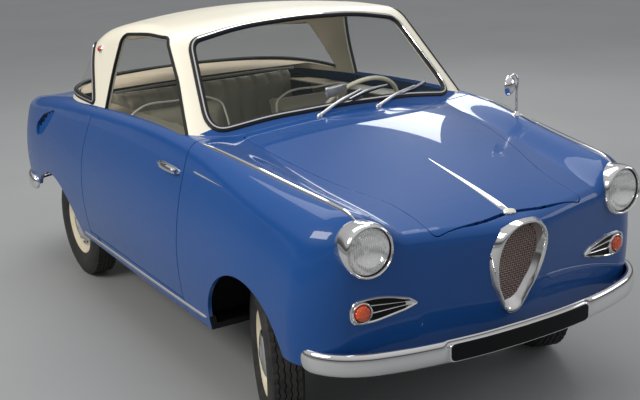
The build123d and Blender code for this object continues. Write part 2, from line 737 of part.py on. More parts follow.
def profile_seat(outline, x_from, x_to):
    """Seat from its side outline, with rounded long edges."""
    with BuildPart() as seat:
        with BuildSketch(Plane.YZ.offset(x_from)) as side:
            Polygon(*outline, align=None)
            fillet(side.vertices(), SEAT_R)
        extrude(amount=x_to - x_from)
    return seat.part


seat = profile_seat(SEAT_OUTLINE, *SEAT_X)
save("seat_left", Pos(0, -DRIVER_SEAT_AHEAD, 0) * seat)
save("seat_right", mirror(seat, about=Plane.YZ))
save("rear_bench", profile_seat(BENCH_OUTLINE, -BENCH_HALF, BENCH_HALF))

with BuildPart() as dashboard:
    add(block(-DASH_X, DASH_X, FIREWALL_Y + WALL + SEAT_GAP, DASH_Y, *DASH_Z))
    add(hull_core, mode=Mode.INTERSECT)
save("dashboard", dashboard.part)

# Steering
wheel_normal = Vector(0, cos(radians(WHEEL_TILT)), sin(radians(WHEEL_TILT)))
wheel_centre = Vector(WHEEL_X, WHEEL_Y, WHEEL_Z)
wheel_plane = Plane(origin=wheel_centre, x_dir=(1, 0, 0), z_dir=wheel_normal)
column_top = wheel_centre - wheel_normal * 30
column_foot = wheel_centre - wheel_normal * ((WHEEL_Y - FIREWALL_Y - WALL) / wheel_normal.Y)
bracket_z = WHEEL_Z - (WHEEL_Y - DASH_Y + 40) * wheel_normal.Z / wheel_normal.Y

with BuildPart() as steering_column:
    add(rod(column_foot - wheel_normal * 20, column_top, COLUMN_R))
    add(block(WHEEL_X - 12, WHEEL_X + 12, DASH_Y - 55, DASH_Y - 25, bracket_z, DASH_Z[0] - SEAT_GAP))
    add(block(-OUTSIDE_X, OUTSIDE_X, -1000, FIREWALL_Y + WALL + SEAT_GAP, 0, 1000), mode=Mode.SUBTRACT)
save("steering_column", steering_column.part)

with BuildPart() as steering_wheel:
    with BuildSketch(Plane(origin=wheel_centre, x_dir=wheel_normal, z_dir=(1, 0, 0))):
        with Locations((0, WHEEL_R)):
            Circle(WHEEL_RIM_R)
    revolve(axis=Axis(wheel_centre, wheel_normal))
    with BuildSketch(wheel_plane.offset(-8)):
        Circle(32)
        for angle in (0, 180, 270):
            with Locations(Rot(0, 0, angle)):
                with Locations((WHEEL_R / 2, 0)):
                    Rectangle(WHEEL_R, 20)
    extrude(amount=8)
    with BuildSketch(wheel_plane.offset(-30 + SEAT_GAP)):
        Circle(30)
    extrude(amount=44)
save("steering_wheel", steering_wheel.part)

# Engine block and running gear
with BuildPart() as engine:
    add(block(-ENGINE[0], ENGINE[0], ENGINE[1], REAR_BEAM_Y - SEAT_GAP, ENGINE[2], ENGINE[3]))
    add(block(-GEARBOX[0], GEARBOX[0], GEARBOX[1], ENGINE[1] + 5, GEARBOX[2], GEARBOX[3]))
save("engine", engine.part)

rear_hub = (HALF_TRACK - 30, REAR_AXLE_Y, TYRE_R)
with BuildPart() as rear_left:
    add(rod((GEARBOX[0] + SEAT_GAP, REAR_AXLE_Y, TYRE_R), rear_hub, AXLE_TUBE_R))
    add(rod(rear_hub, (HALF_TRACK + RIM_DISC_OUT + 6, REAR_AXLE_Y, TYRE_R), STUB_R))
    add(block(TRAILING_ARM_X - TRAILING_ARM_HALF, TRAILING_ARM_X + TRAILING_ARM_HALF, 500, REAR_AXLE_Y + 20,
              TYRE_R - 18, SILL_Z - SEAT_GAP))
save("rear_suspension", with_mirror(rear_left.part))

with BuildPart() as front_suspension:
    add(block(-BEAM_X, BEAM_X, FRONT_AXLE_Y - BEAM_HALF, FRONT_AXLE_Y + BEAM_HALF, BEAM_LOW_Z, RAIL_LOW_Z - SEAT_GAP))
    for side in (-1, 1):
        eye = side * KINGPIN_X
        add(rod((eye, FRONT_AXLE_Y, TYRE_R - KNUCKLE_HALF - ARM_THICK - 8),
                (eye, FRONT_AXLE_Y, TYRE_R + KNUCKLE_HALF + ARM_THICK + 8), KINGPIN_R))
        for low in (TYRE_R - KNUCKLE_HALF - SEAT_GAP - ARM_THICK, TYRE_R + KNUCKLE_HALF + SEAT_GAP):
            add(rod((eye, FRONT_AXLE_Y, low), (eye, FRONT_AXLE_Y, low + ARM_THICK), KNUCKLE_R))
            x_low, x_high = sorted((side * (BEAM_X - 10), eye))
            add(block(x_low, x_high, FRONT_AXLE_Y - ARM_HALF, FRONT_AXLE_Y + ARM_HALF, low, low + ARM_THICK))
save("front_suspension", front_suspension.part)


def knuckle_shape():
    """Knuckle with its stub axle along +X and its kingpin at the origin."""
    with BuildPart() as knuckle:
        add(rod((0, 0, -KNUCKLE_HALF), (0, 0, KNUCKLE_HALF), KNUCKLE_R))
        add(rod((0, 0, 0), (KINGPIN_INSET + RIM_DISC_OUT + 6, 0, 0), STUB_R))
        add(rod((0, 0, -KNUCKLE_HALF - 1), (0, 0, KNUCKLE_HALF + 1), KINGPIN_R + SEAT_GAP), mode=Mode.SUBTRACT)
    return knuckle.part


def rim_shape():
    """Rim with its disc and hubcap, outer face towards +X, centred on the wheel."""
    half = RIM_W / 2
    inner_r = RIM_SEAT_R - RIM_WALL
    with BuildPart() as rim:
        with BuildSketch(Plane.XZ):
            with BuildLine():
                Polyline((-half, inner_r), (-half, RIM_FLANGE_R), (-half + 5, RIM_FLANGE_R), (-half + 7, RIM_SEAT_R),
                         (half - 7, RIM_SEAT_R), (half - 5, RIM_FLANGE_R), (half, RIM_FLANGE_R), (half, inner_r),
                         (half - 16, inner_r), (RIM_DISC_OUT + 8, HUBCAP_R + 4), (RIM_DISC_OUT + 8, HUBCAP_R))
                ThreePointArc((RIM_DISC_OUT + 8, HUBCAP_R),
                              (RIM_DISC_OUT + 8 + dome_height(HUBCAP_R, HUBCAP_RISE), HUBCAP_R / 2),
                              (RIM_DISC_OUT + 8 + HUBCAP_RISE, 0))
                Polyline((RIM_DISC_OUT + 8 + HUBCAP_RISE, 0), (RIM_DISC_OUT + 8, 0), (RIM_DISC_OUT + 8, STUB_R + SEAT_GAP),
                         (RIM_DISC_OUT - 20, STUB_R + SEAT_GAP), (RIM_DISC_OUT - 20, 34), (RIM_DISC_OUT, 40),
                         (RIM_DISC_OUT, inner_r - 8), (RIM_DISC_OUT - 14, inner_r), (-half, inner_r))
            make_face()
        revolve(axis=Axis.X)
    return rim.part


def tyre_shape():
    """Tyre ring round the X axis."""
    half = TYRE_W / 2
    with BuildPart() as tyre:
        with BuildSketch(Plane.XZ):
            with BuildLine():
                bead = RIM_W / 2 - 7 - SEAT_GAP
                inner = RIM_SEAT_R + SEAT_GAP
                crown = half - TYRE_SHOULDER
                Line((-bead, inner), (bead, inner))
                Line((bead, inner), (bead + 1, RIM_FLANGE_R + 1))
                ThreePointArc((bead + 1, RIM_FLANGE_R + 1), (half, (RIM_FLANGE_R + TYRE_R) / 2 - 8),
                              (half - 6, TYRE_R - 22))
                ThreePointArc((half - 6, TYRE_R - 22), (half - 12, TYRE_R - 9), (crown, TYRE_R - 3))
                ThreePointArc((crown, TYRE_R - 3), (0, TYRE_R), (-crown, TYRE_R - 3))
                ThreePointArc((-crown, TYRE_R - 3), (-half + 12, TYRE_R - 9), (-half + 6, TYRE_R - 22))
                ThreePointArc((-half + 6, TYRE_R - 22), (-half, (RIM_FLANGE_R + TYRE_R) / 2 - 8),
                              (-bead - 1, RIM_FLANGE_R + 1))
                Line((-bead - 1, RIM_FLANGE_R + 1), (-bead, inner))
            make_face()
        revolve(axis=Axis.X)
    return tyre.part


knuckle = knuckle_shape()
rim = rim_shape()
tyre = tyre_shape()
for tag, side in (("left", 1), ("right", -1)):
    turn = -STEER_REST + (0 if side > 0 else 180)
    pin = Location((side * KINGPIN_X, FRONT_AXLE_Y, TYRE_R), (0, 0, turn))
    front = pin * Pos(KINGPIN_INSET, 0, 0)
    rear = Location((side * HALF_TRACK, REAR_AXLE_Y, TYRE_R), (0, 0, 0 if side > 0 else 180))
    save(f"knuckle_{tag}", pin * knuckle)
    save(f"rim_front_{tag}", front * rim)
    save(f"tyre_front_{tag}", front * tyre)
    save(f"rim_rear_{tag}", rear * rim)
    save(f"tyre_rear_{tag}", rear * tyre)


def bumper_band(face_y, bend, end, wall, inset):
    """Bumper seen from above: its face at the middle, bend and end, and its wall."""
    way = 1 if face_y > 0 else -1
    mid = (bend[0] + 0.74 * (end[0] - bend[0]), bend[1] + 0.36 * (end[1] - bend[1]))

    def arcs(depth):
        middle = (0, face_y - way * depth)
        knee = (bend[0] - 0.3 * depth, bend[1] - way * 0.95 * depth)
        hip = (mid[0] - 0.8 * depth, mid[1] - way * 0.6 * depth)
        tip = (end[0] - depth, end[1])
        return middle, knee, hip, tip

    outer = arcs(inset)
    inner = arcs(inset + wall)
    with BuildSketch() as band:
        with BuildLine():
            ThreePointArc((-outer[1][0], outer[1][1]), outer[0], outer[1])
            ThreePointArc(outer[1], outer[2], outer[3])
            Line(outer[3], inner[3])
            ThreePointArc(inner[3], inner[2], inner[1])
            ThreePointArc(inner[1], inner[0], (-inner[1][0], inner[1][1]))
            ThreePointArc((-inner[1][0], inner[1][1]), (-inner[2][0], inner[2][1]), (-inner[3][0], inner[3][1]))
            Line((-inner[3][0], inner[3][1]), (-outer[3][0], outer[3][1]))
            ThreePointArc((-outer[3][0], outer[3][1]), (-outer[2][0], outer[2][1]), (-outer[1][0], outer[1][1]))
        make_face()
    return band.sketch


front_plan = (BUMPER_FRONT_Y, BUMPER_BEND, BUMPER_END)
rear_plan = (REAR_END_Y, BUMPER_REAR_BEND, BUMPER_REAR_END)

with BuildPart() as bumper_front:
    with BuildSketch(Plane.XY.offset(BUMPER_Z[0])):
        add(bumper_band(*front_plan, BUMPER_WALL, 0))
    extrude(amount=BUMPER_Z[1] - BUMPER_Z[0])
    for x in (-BUMPER_IRON_X, BUMPER_IRON_X):
        add(block(x - 18, x + 18, BUMPER_FRONT_Y + 42, -1300, 345, 385))
    add(hull_seat, mode=Mode.SUBTRACT)
save("bumper_front", bumper_front.part)

with BuildPart() as bumper_rear:
    with BuildSketch(Plane.XY.offset(BUMPER_Z[0])):
        add(bumper_band(*rear_plan, BUMPER_WALL, 0))
    extrude(amount=BUMPER_Z[1] - BUMPER_Z[0])
    for x in (-BUMPER_IRON_X, BUMPER_IRON_X):
        add(block(x - 18, x + 18, 1380, REAR_END_Y - 42, 345, 385))
    add(hull_seat, mode=Mode.SUBTRACT)
save("bumper_rear", bumper_rear.part)

with BuildPart() as number_plates:
    with BuildSketch(Plane.XY.offset(PLATE_Z[0])):
        add(bumper_band(*front_plan, PLATE_DEPTH - 2, -PLATE_DEPTH + 2 - SEAT_GAP))
    extrude(amount=PLATE_Z[1] - PLATE_Z[0])
    add(block(-PLATE_HALF, PLATE_HALF, -1600, -1400, 200, 500), mode=Mode.INTERSECT)
    add(block(-REAR_PLATE[0], REAR_PLATE[0], 1400, REAR_PLATE[1], REAR_PLATE[2], REAR_PLATE[3]) - hull_seat)
save("number_plates", number_plates.part)

# Headlamps
with BuildPart() as headlamp_rims:
    for side in (-1, 1):
        face = (side * LAMP_X, LAMP_FACE_Y, LAMP_Z)
        back = (side * LAMP_X, LAMP_FACE_Y + 90, LAMP_Z)
        add(rod(face, back, LAMP_RIM_R) - hull_seat - rod(face, back, LAMP_LENS_R + SEAT_GAP))
save("headlamp_rims", headlamp_rims.part)

with BuildPart() as lens:
    with BuildSketch(Plane.XY):
        with BuildLine():
            Polyline((0, 0), (0, LAMP_LENS_R), (-10, LAMP_LENS_R))
            ThreePointArc((-10, LAMP_LENS_R), (-10 - dome_height(LAMP_LENS_R, LAMP_LENS_RISE), LAMP_LENS_R / 2),
                          (-10 - LAMP_LENS_RISE, 0))
            Line((-10 - LAMP_LENS_RISE, 0), (0, 0))
        make_face()
    revolve(axis=Axis.X)
with BuildPart() as headlamp_lenses:
    for side in (-1, 1):
        add(Location((side * LAMP_X, LAMP_FACE_Y + 12, LAMP_Z), (0, 0, 90)) * lens.part - hull_seat)
save("headlamp_lenses", headlamp_lenses.part)

# Indicators, standing proud of the nose
proud_hull = body_hull(-INDICATOR_PROUD)
with BuildPart() as spear:
    with BuildSketch(Plane.XZ.offset(1300)):
        with BuildLine():
            tip = (INDICATOR_X[0], INDICATOR_Z)
            high = (INDICATOR_LENS_X, INDICATOR_Z + INDICATOR_HALF)
            low = (INDICATOR_LENS_X, INDICATOR_Z - INDICATOR_HALF)
            Line(tip, high)
            ThreePointArc(high, (INDICATOR_X[1], INDICATOR_Z), low)
            Line(low, tip)
        make_face()
    extrude(amount=200)
with BuildPart() as bulb:
    with BuildSketch(Plane.XZ.offset(1300)):
        with Locations((INDICATOR_LENS_X, INDICATOR_Z)):
            Circle(INDICATOR_LENS_R)
    extrude(amount=200)
indicator_left = (proud_hull - hull_seat) & spear.part
save("indicator_trims", with_mirror(indicator_left))
lens_hull = body_hull(-INDICATOR_PROUD - 10)
indicator_lens = (lens_hull - body_hull(-INDICATOR_PROUD - SEAT_GAP)) & bulb.part
save("indicator_lenses", with_mirror(indicator_lens))

# Grille on the nose
lean = radians(GRILLE_LEAN)
grille_plane = Plane(origin=(0, *GRILLE_FOOT), x_dir=(1, 0, 0), z_dir=(0, -cos(lean), -sin(lean)))


def grille_outline(inset):
    """Shield outline of the grille along the slope of the nose."""
    with BuildSketch() as shield:
        with BuildLine():
            ThreePointArc((-78, 272), (0, 300), (78, 272))
            ThreePointArc((78, 272), (115, 200), (102, 116))
            ThreePointArc((102, 116), (70, 38), (32, -6))
            ThreePointArc((32, -6), (0, -16), (-32, -6))
            ThreePointArc((-32, -6), (-70, 38), (-102, 116))
            ThreePointArc((-102, 116), (-115, 200), (-78, 272))
        make_face()
        if inset:
            offset(amount=-inset)
    return shield.sketch


with BuildPart() as grille_frame:
    with BuildSketch(grille_plane.offset(-60)):
        add(grille_outline(0))
        add(grille_outline(GRILLE_FRAME), mode=Mode.SUBTRACT)
    extrude(amount=60 + GRILLE_PROUD)
    add(hull_seat, mode=Mode.SUBTRACT)
    add(proud_hull & block(-400, 400, -1600, -1300, HOOD_FLOOR_Z - SHUT_GAP, 1000), mode=Mode.SUBTRACT)
    add(block(-400, 400, FRONT_END_Y, -1200, 200, 1000), mode=Mode.INTERSECT)
save("grille_frame", grille_frame.part)

with BuildPart() as grille_mesh:
    with BuildSketch(grille_plane.offset(-60)):
        add(grille_outline(GRILLE_FRAME + SEAT_GAP))
    extrude(amount=60 + GRILLE_PROUD - 12)
    add(hull_seat, mode=Mode.SUBTRACT)
    add(proud_hull & block(-400, 400, -1600, -1300, HOOD_FLOOR_Z - SHUT_GAP, 1000), mode=Mode.SUBTRACT)
save("grille_mesh", grille_mesh.part)

with BuildPart() as tail_lamps:
    for side in (-1, 1):
        add(rod((side * TAIL_LAMP_X, 1440, TAIL_LAMP_Z), (side * TAIL_LAMP_X, 1512, TAIL_LAMP_Z), TAIL_LAMP_R)
            - hull_seat)
save("tail_lamps", tail_lamps.part)


def glass_front(x, z):
    """Where the windscreen's face is, near enough, at a place across and up."""
    rise = (z - BELT_Z) / (EAVES_Z - BELT_Z)
    middle = GREENHOUSE_BELT[0] + rise * (GREENHOUSE_EAVES[0] - GREENHOUSE_BELT[0])
    corner = GREENHOUSE_BELT[2] + rise * (GREENHOUSE_EAVES[2] - GREENHOUSE_BELT[2])
    return middle + (corner - middle) * (x / (GREENHOUSE_BELT[1] - PILLAR_CORNER)) ** 2


# pivot x, arm end x, arm end z, blade inner x, blade inner z, blade outer x, blade outer z
WIPERS = [
    (-WIPER_PIVOT[0], 78, 962, -18, 950, 196, 968),
    (WIPER_PIVOT[0], 322, 948, 226, 944, 402, 938),
]
with BuildPart() as wipers:
    for pivot_x, arm_x, arm_z, in_x, in_z, out_x, out_z in WIPERS:
        top = (pivot_x, WIPER_PIVOT[1], WIPER_PIVOT[2] + 30)
        arm_end = (arm_x, glass_front(arm_x, arm_z) - WIPER_STAND, arm_z)
        add(rod((pivot_x, WIPER_PIVOT[1], WIPER_PIVOT[2] - 40), top, 9) - hull_seat)
        add(rod((pivot_x, WIPER_PIVOT[1], top[2] - 8), arm_end, 5))
        add(rod((in_x, glass_front(in_x, in_z) - WIPER_STAND, in_z),
                (out_x, glass_front(out_x, out_z) - WIPER_STAND, out_z), 5))
save("wipers", wipers.part)

with BuildPart() as fender_mirror:
    neck = (MIRROR_HEAD[0], MIRROR_HEAD[1] - 12, MIRROR_HEAD[2])
    add(rod((*MIRROR_BASE, 800), (*MIRROR_BASE, 868), 15) - hull_seat)
    add(rod((*MIRROR_BASE, 866), neck, 6))
    add(rod((MIRROR_HEAD[0], MIRROR_HEAD[1] - 14, MIRROR_HEAD[2]), MIRROR_HEAD, MIRROR_R))
save("fender_mirror", fender_mirror.part)

lamp_seat = (440.0, *PILLAR_LAMP)
pillar_lamp_left = rod(lamp_seat, (lamp_seat[0] + 112, *PILLAR_LAMP), PILLAR_LAMP_R) - greenhouse(-SEAT_GAP)
save("pillar_lamps", with_mirror(pillar_lamp_left.solids().sort_by(Axis.X)[-1]))

with BuildPart() as handle_left:
    grip_x = HANDLE_SKIN_X + HANDLE_STAND
    add(rod((grip_x, HANDLE_Y[0], HANDLE_Z), (grip_x, HANDLE_Y[1], HANDLE_Z), HANDLE_R))
    for y in (HANDLE_Y[0] + 14, HANDLE_Y[1] - 14):
        add(rod((HANDLE_SKIN_X - 40, y, HANDLE_Z), (grip_x, y, HANDLE_Z), HANDLE_R - 1) - hull_seat)
save("handle_left", handle_left.part)
save("handle_right", mirror(handle_left.part, about=Plane.YZ))
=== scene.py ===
"""Small two-tone coupe: smooth skins, glass, chrome, lamps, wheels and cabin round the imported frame."""

import logging
import math
from dataclasses import dataclass
from enum import Enum
from typing import Callable, Optional, Sequence

import bmesh
import bpy
import numpy as np
from mathutils import Matrix, Vector


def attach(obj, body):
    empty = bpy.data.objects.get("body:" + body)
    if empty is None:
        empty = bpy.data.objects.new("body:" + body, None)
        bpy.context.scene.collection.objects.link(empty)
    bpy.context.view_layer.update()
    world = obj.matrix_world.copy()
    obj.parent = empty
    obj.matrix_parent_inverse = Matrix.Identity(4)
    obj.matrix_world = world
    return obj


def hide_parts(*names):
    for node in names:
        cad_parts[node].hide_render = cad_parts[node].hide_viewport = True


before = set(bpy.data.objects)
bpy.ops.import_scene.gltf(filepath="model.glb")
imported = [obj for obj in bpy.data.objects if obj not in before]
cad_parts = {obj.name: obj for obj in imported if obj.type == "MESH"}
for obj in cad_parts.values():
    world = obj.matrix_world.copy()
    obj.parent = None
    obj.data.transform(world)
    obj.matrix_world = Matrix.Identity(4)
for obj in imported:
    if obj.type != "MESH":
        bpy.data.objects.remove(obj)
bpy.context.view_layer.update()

LOG = logging.getLogger("coupe")
MM = 0.001
LEFT, AHEAD, UP = (1.0, 0.0, 0.0), (0.0, -1.0, 0.0), (0.0, 0.0, 1.0)
HALVINGS = 28
Array = np.ndarray
Rays = tuple[Array, Array]
Piece = bpy.types.Object
Pair = tuple[float, float]
Point = tuple[float, float, float]
Field = Callable[[Array], Array]


def smooth_step(low: float, high: float, at: Array) -> Array:
    """Soft ramp from 0 at low to 1 at high."""
    t = np.clip((at - low) / (high - low), 0.0, 1.0)
    return t * t * (3.0 - 2.0 * t)


def round_meet(a: Array, b: Array, radius: Array | float) -> Array:
    """Inside of both fields, with the edge between them rounded off.

    Args:
        a: First field, negative inside.
        b: Second field, negative inside.
        radius: Radius of the rounding in millimetres.

    Returns:
        The joined field.
    """
    u = np.maximum(a + radius, 0.0)
    v = np.maximum(b + radius, 0.0)
    return np.minimum(-radius, np.maximum(a, b)) + np.hypot(u, v)


def soft_join(a: Array, b: Array, width: float) -> Array:
    """Union of two fields with a soft hollow where they cross."""
    h = np.maximum(width - np.abs(a - b), 0.0) / width
    return np.minimum(a, b) - h * h * width / 4.0


class Track:
    """Smooth line through a few stations, such as a height along the car."""

    def __init__(self, stations: Sequence[float], values: Sequence[float]) -> None:
        """Fits the line.

        Args:
            stations: Rising places along the line.
            values: Value at each place.
        """
        s = np.array(stations, float)
        v = np.array(values, float)
        slope = np.gradient(v, s) if len(s) > 2 else np.full(len(s), (v[-1] - v[0]) / (s[-1] - s[0]))
        self.at = np.linspace(s[0], s[-1], 1400)
        i = np.clip(np.searchsorted(s, self.at) - 1, 0, len(s) - 2)
        h = s[i + 1] - s[i]
        t = (self.at - s[i]) / h
        self.values = (
            (2 * t**3 - 3 * t**2 + 1) * v[i]
            + (t**3 - 2 * t**2 + t) * h * slope[i]
            + (3 * t**2 - 2 * t**3) * v[i + 1]
            + (t**3 - t**2) * h * slope[i + 1]
        )

    def __call__(self, at: Array) -> Array:
        """Value at each place."""
        return np.interp(at, self.at, self.values)


class Form:
    """A smooth closed form given as a field that is negative inside."""

    def value(self, points: Array) -> Array:
        """Field at each point, in millimetres."""
        raise NotImplementedError

    def gradient(self, points: Array, step: float) -> Array:
        """Rise of the field over two steps along each axis."""
        return np.stack([self.value(points + s) - self.value(points - s) for s in step * np.eye(3)], 1)

    def normal(self, points: Array, step: float = 3.0) -> Array:
        """Outward direction of the form at each point."""
        grad = self.gradient(points, step)
        return grad / np.maximum(np.linalg.norm(grad, axis=1, keepdims=True), 1e-9)

    def cast(self, origin: Array, way: Array, reach: float = 1700.0) -> Array:
        """Where rays from inside leave the form.

        Args:
            origin: Start of each ray.
            way: Direction of each ray.
            reach: Longest ray in millimetres.

        Returns:
            One point on the form for each ray.
        """
        low = np.zeros(len(origin))
        high = np.full(len(origin), reach)
        for _ in range(HALVINGS):
            mid = (low + high) / 2
            out = self.value(origin + way * mid[:, None]) > 0
            high = np.where(out, mid, high)
            low = np.where(out, low, mid)
        return origin + way * ((low + high) / 2)[:, None]

    def land(
        self, x: Array | float, y: Array | float, z: Array | float, way: Sequence[float]
    ) -> Array:
        """Where rays from x, y and z, all going one way, leave the form."""
        origin = np.stack(np.broadcast_arrays(*np.atleast_1d(x, y, z)), 1).astype(float)
        return self.cast(origin, np.tile(np.array(way, float), (len(origin), 1)))

    def settle(self, points: Array) -> Array:
        """Points moved the short way onto the form.

        Args:
            points: Places near the form, in millimetres.

        Returns:
            The places on the form.
        """
        p = points.copy()
        for _ in range(4):
            grad = self.gradient(p, 1.0) / 2
            p -= grad * (self.value(p) / np.maximum((grad**2).sum(1), 0.05))[:, None]
        return p


@dataclass
class BodyForm(Form):
    """The painted body below the glass."""

    sections: tuple[tuple[float, ...], ...] = (
        (-1530, 600, 598, 586, 652, 474, 776, 385, 700, 706, 80),
        (-1384, 628, 642, 608, 690, 492, 797, 388, 742, 745, 85),
        (-1046, 645, 668, 634, 748, 530, 831, 430, 798, 816, 80),
        (-560, 655, 681, 632, 828, 588, 882, 470, 872, 905, 42),
        (400, 655, 684, 636, 822, 604, 862, 450, 880, 905, 38),
        (980, 650, 680, 640, 758, 590, 817, 440, 838, 872, 46),
        (1300, 640, 664, 630, 712, 579, 774, 450, 764, 788, 50),
        (1530, 618, 634, 604, 670, 570, 736, 430, 650, 664, 50),
    )
    ends: tuple[tuple[float, ...], ...] = (
        (200, -1388, -1322, 1390, 1352),
        (430, -1424, -1340, 1462, 1428),
        (700, -1484, -1366, 1502, 1486),
        (960, -1500, -1372, 1494, 1490),
    )
    sill_z: float = 262.0
    waist_z: float = 540.0
    corner_x: float = 548.0
    prow: float = 60.0
    nose_corner: float = 118.0
    tail_corner: float = 90.0
    end_edge: float = 36.0
    hollow: float = 30.0

    def __post_init__(self) -> None:
        """Fits a smooth line through each column of the tables."""
        columns = list(zip(*self.sections))
        self.tracks = [Track(columns[0], column) for column in columns[1:]]
        columns = list(zip(*self.ends))
        self.end_tracks = [Track(columns[0], column) for column in columns[1:]]

    def value(self, points: Array) -> Array:
        """Field at each point, in millimetres.

        Args:
            points: Places in millimetres.

        Returns:
            The field at each place, in millimetres.
        """
        x, y, z = np.abs(points[:, 0]), points[:, 1], points[:, 2]
        sill, waist, sh_x, sh_z, cr_x, cr_z, va_x, va_z, ce_z, roll = (t(y) for t in self.tracks)
        s, w = self.sill_z, self.waist_z
        flank = (
            sill * (z - w) * (z - sh_z) / ((s - w) * (s - sh_z))
            + waist * (z - s) * (z - sh_z) / ((w - s) * (w - sh_z))
            + sh_x * (z - s) * (z - w) / ((sh_z - s) * (sh_z - w))
        )
        va_z = va_z - self.hollow / 4
        deck = ce_z - (ce_z - va_z) * (x / va_x) ** 2
        out = x - cr_x
        rise = (cr_z - va_z) / (cr_x - va_x) ** 2
        ridge = cr_z - np.where(out < 0, np.maximum(rise, 0.0002), 0.0006) * out**2
        top = soft_join(z - deck, z - ridge, self.hollow)
        nose_y, nose_side, tail_y, tail_side = (t(z) for t in self.end_tracks)
        bow = (np.hypot(x, self.prow) - self.prow) / (math.hypot(self.corner_x, self.prow) - self.prow)
        nose = nose_y + (nose_side - nose_y) * bow - y
        tail = y - tail_y - (tail_side - tail_y) * (x / self.corner_x) ** 2
        side = round_meet(x - flank, nose, self.nose_corner)
        side = round_meet(side, tail, self.tail_corner)
        edge = self.end_edge + (roll - self.end_edge) * smooth_step(370, 500, x)
        return round_meet(side, top, edge)


@dataclass
class CabinForm(Form):
    """The cabin top: glass, pillars and roof as one smooth form, drawn in by an inset."""

    inset: float = 0.0
    belt_z: float = 880.0
    eaves_z: float = 1180.0
    screen: tuple[float, float] = (-560.0, -257.0)
    screen_bow: tuple[float, float] = (105 / 562**2, 92 / 489**2)
    flank: tuple[float, float, float, float] = (600.0, -6 / 957, 527.0, -19 / 567)
    bend_y: tuple[float, float] = (540.0, 440.0)
    rear_length: tuple[float, float] = (545.0, 348.0)
    squareness: float = 2.7
    pillar_round: float = 42.0
    roof: tuple[Point, ...] = (
        (-430, 1140, 1190),
        (-190, 1200, 1231),
        (50, 1212, 1235),
        (300, 1198, 1228),
        (480, 1170, 1204),
        (650, 1128, 1164),
        (850, 1052, 1086),
        (1150, 915, 940),
    )
    eaves_x: float = 430.0

    def __post_init__(self) -> None:
        """Fits the roof's two smooth lines."""
        stations, eaves, crown = zip(*self.roof)
        self.eaves = Track(stations, eaves)
        self.crown = Track(stations, crown)

    def value(self, points: Array) -> Array:
        """Field at each point, in millimetres.

        Args:
            points: Places in millimetres.

        Returns:
            The field at each place, in millimetres.
        """
        x, y, z = np.abs(points[:, 0]), points[:, 1], points[:, 2]
        up = (z - self.belt_z) / (self.eaves_z - self.belt_z)
        bow = self.screen_bow[0] + up * (self.screen_bow[1] - self.screen_bow[0])
        screen = (self.screen[0] + up * (self.screen[1] - self.screen[0]) + bow * x**2 - y) / 1.42
        bend = self.bend_y[0] + up * (self.bend_y[1] - self.bend_y[0])
        length = self.rear_length[0] + up * (self.rear_length[1] - self.rear_length[0])
        held = np.minimum(y, bend)
        low = self.flank[0] + self.flank[1] * (held + 417)
        high = self.flank[2] + self.flank[3] * (held + 127)
        half = low + up * (high - low)
        n = self.squareness
        back = np.maximum(y - bend, 0.0) / np.maximum(length, 50)
        side = (((x / half) ** n + back**n) ** (1 / n) - 1) * half
        walls = round_meet(side, screen, self.pillar_round)
        crown = self.crown(y)
        top = z - crown + (crown - self.eaves(y)) * (x / self.eaves_x) ** 2
        edge = 34 + 24 * smooth_step(-150, 50, y)
        return round_meet(walls, top, edge) + self.inset


@dataclass
class Inset(Form):
    """Another form drawn in by a depth, or let out by a negative one."""

    base: Form
    depth: float

    def value(self, points: Array) -> Array:
        """Field at each point, in millimetres."""
        return self.base.value(points) + self.depth


class Lie(Enum):
    """Plane in which an outline is drawn."""

    SIDE = "side"
    FRONT = "front"
    ROUND = "round"


ROUND_CENTRE_Y = 150.0
ROUND_SCALE = 700.0


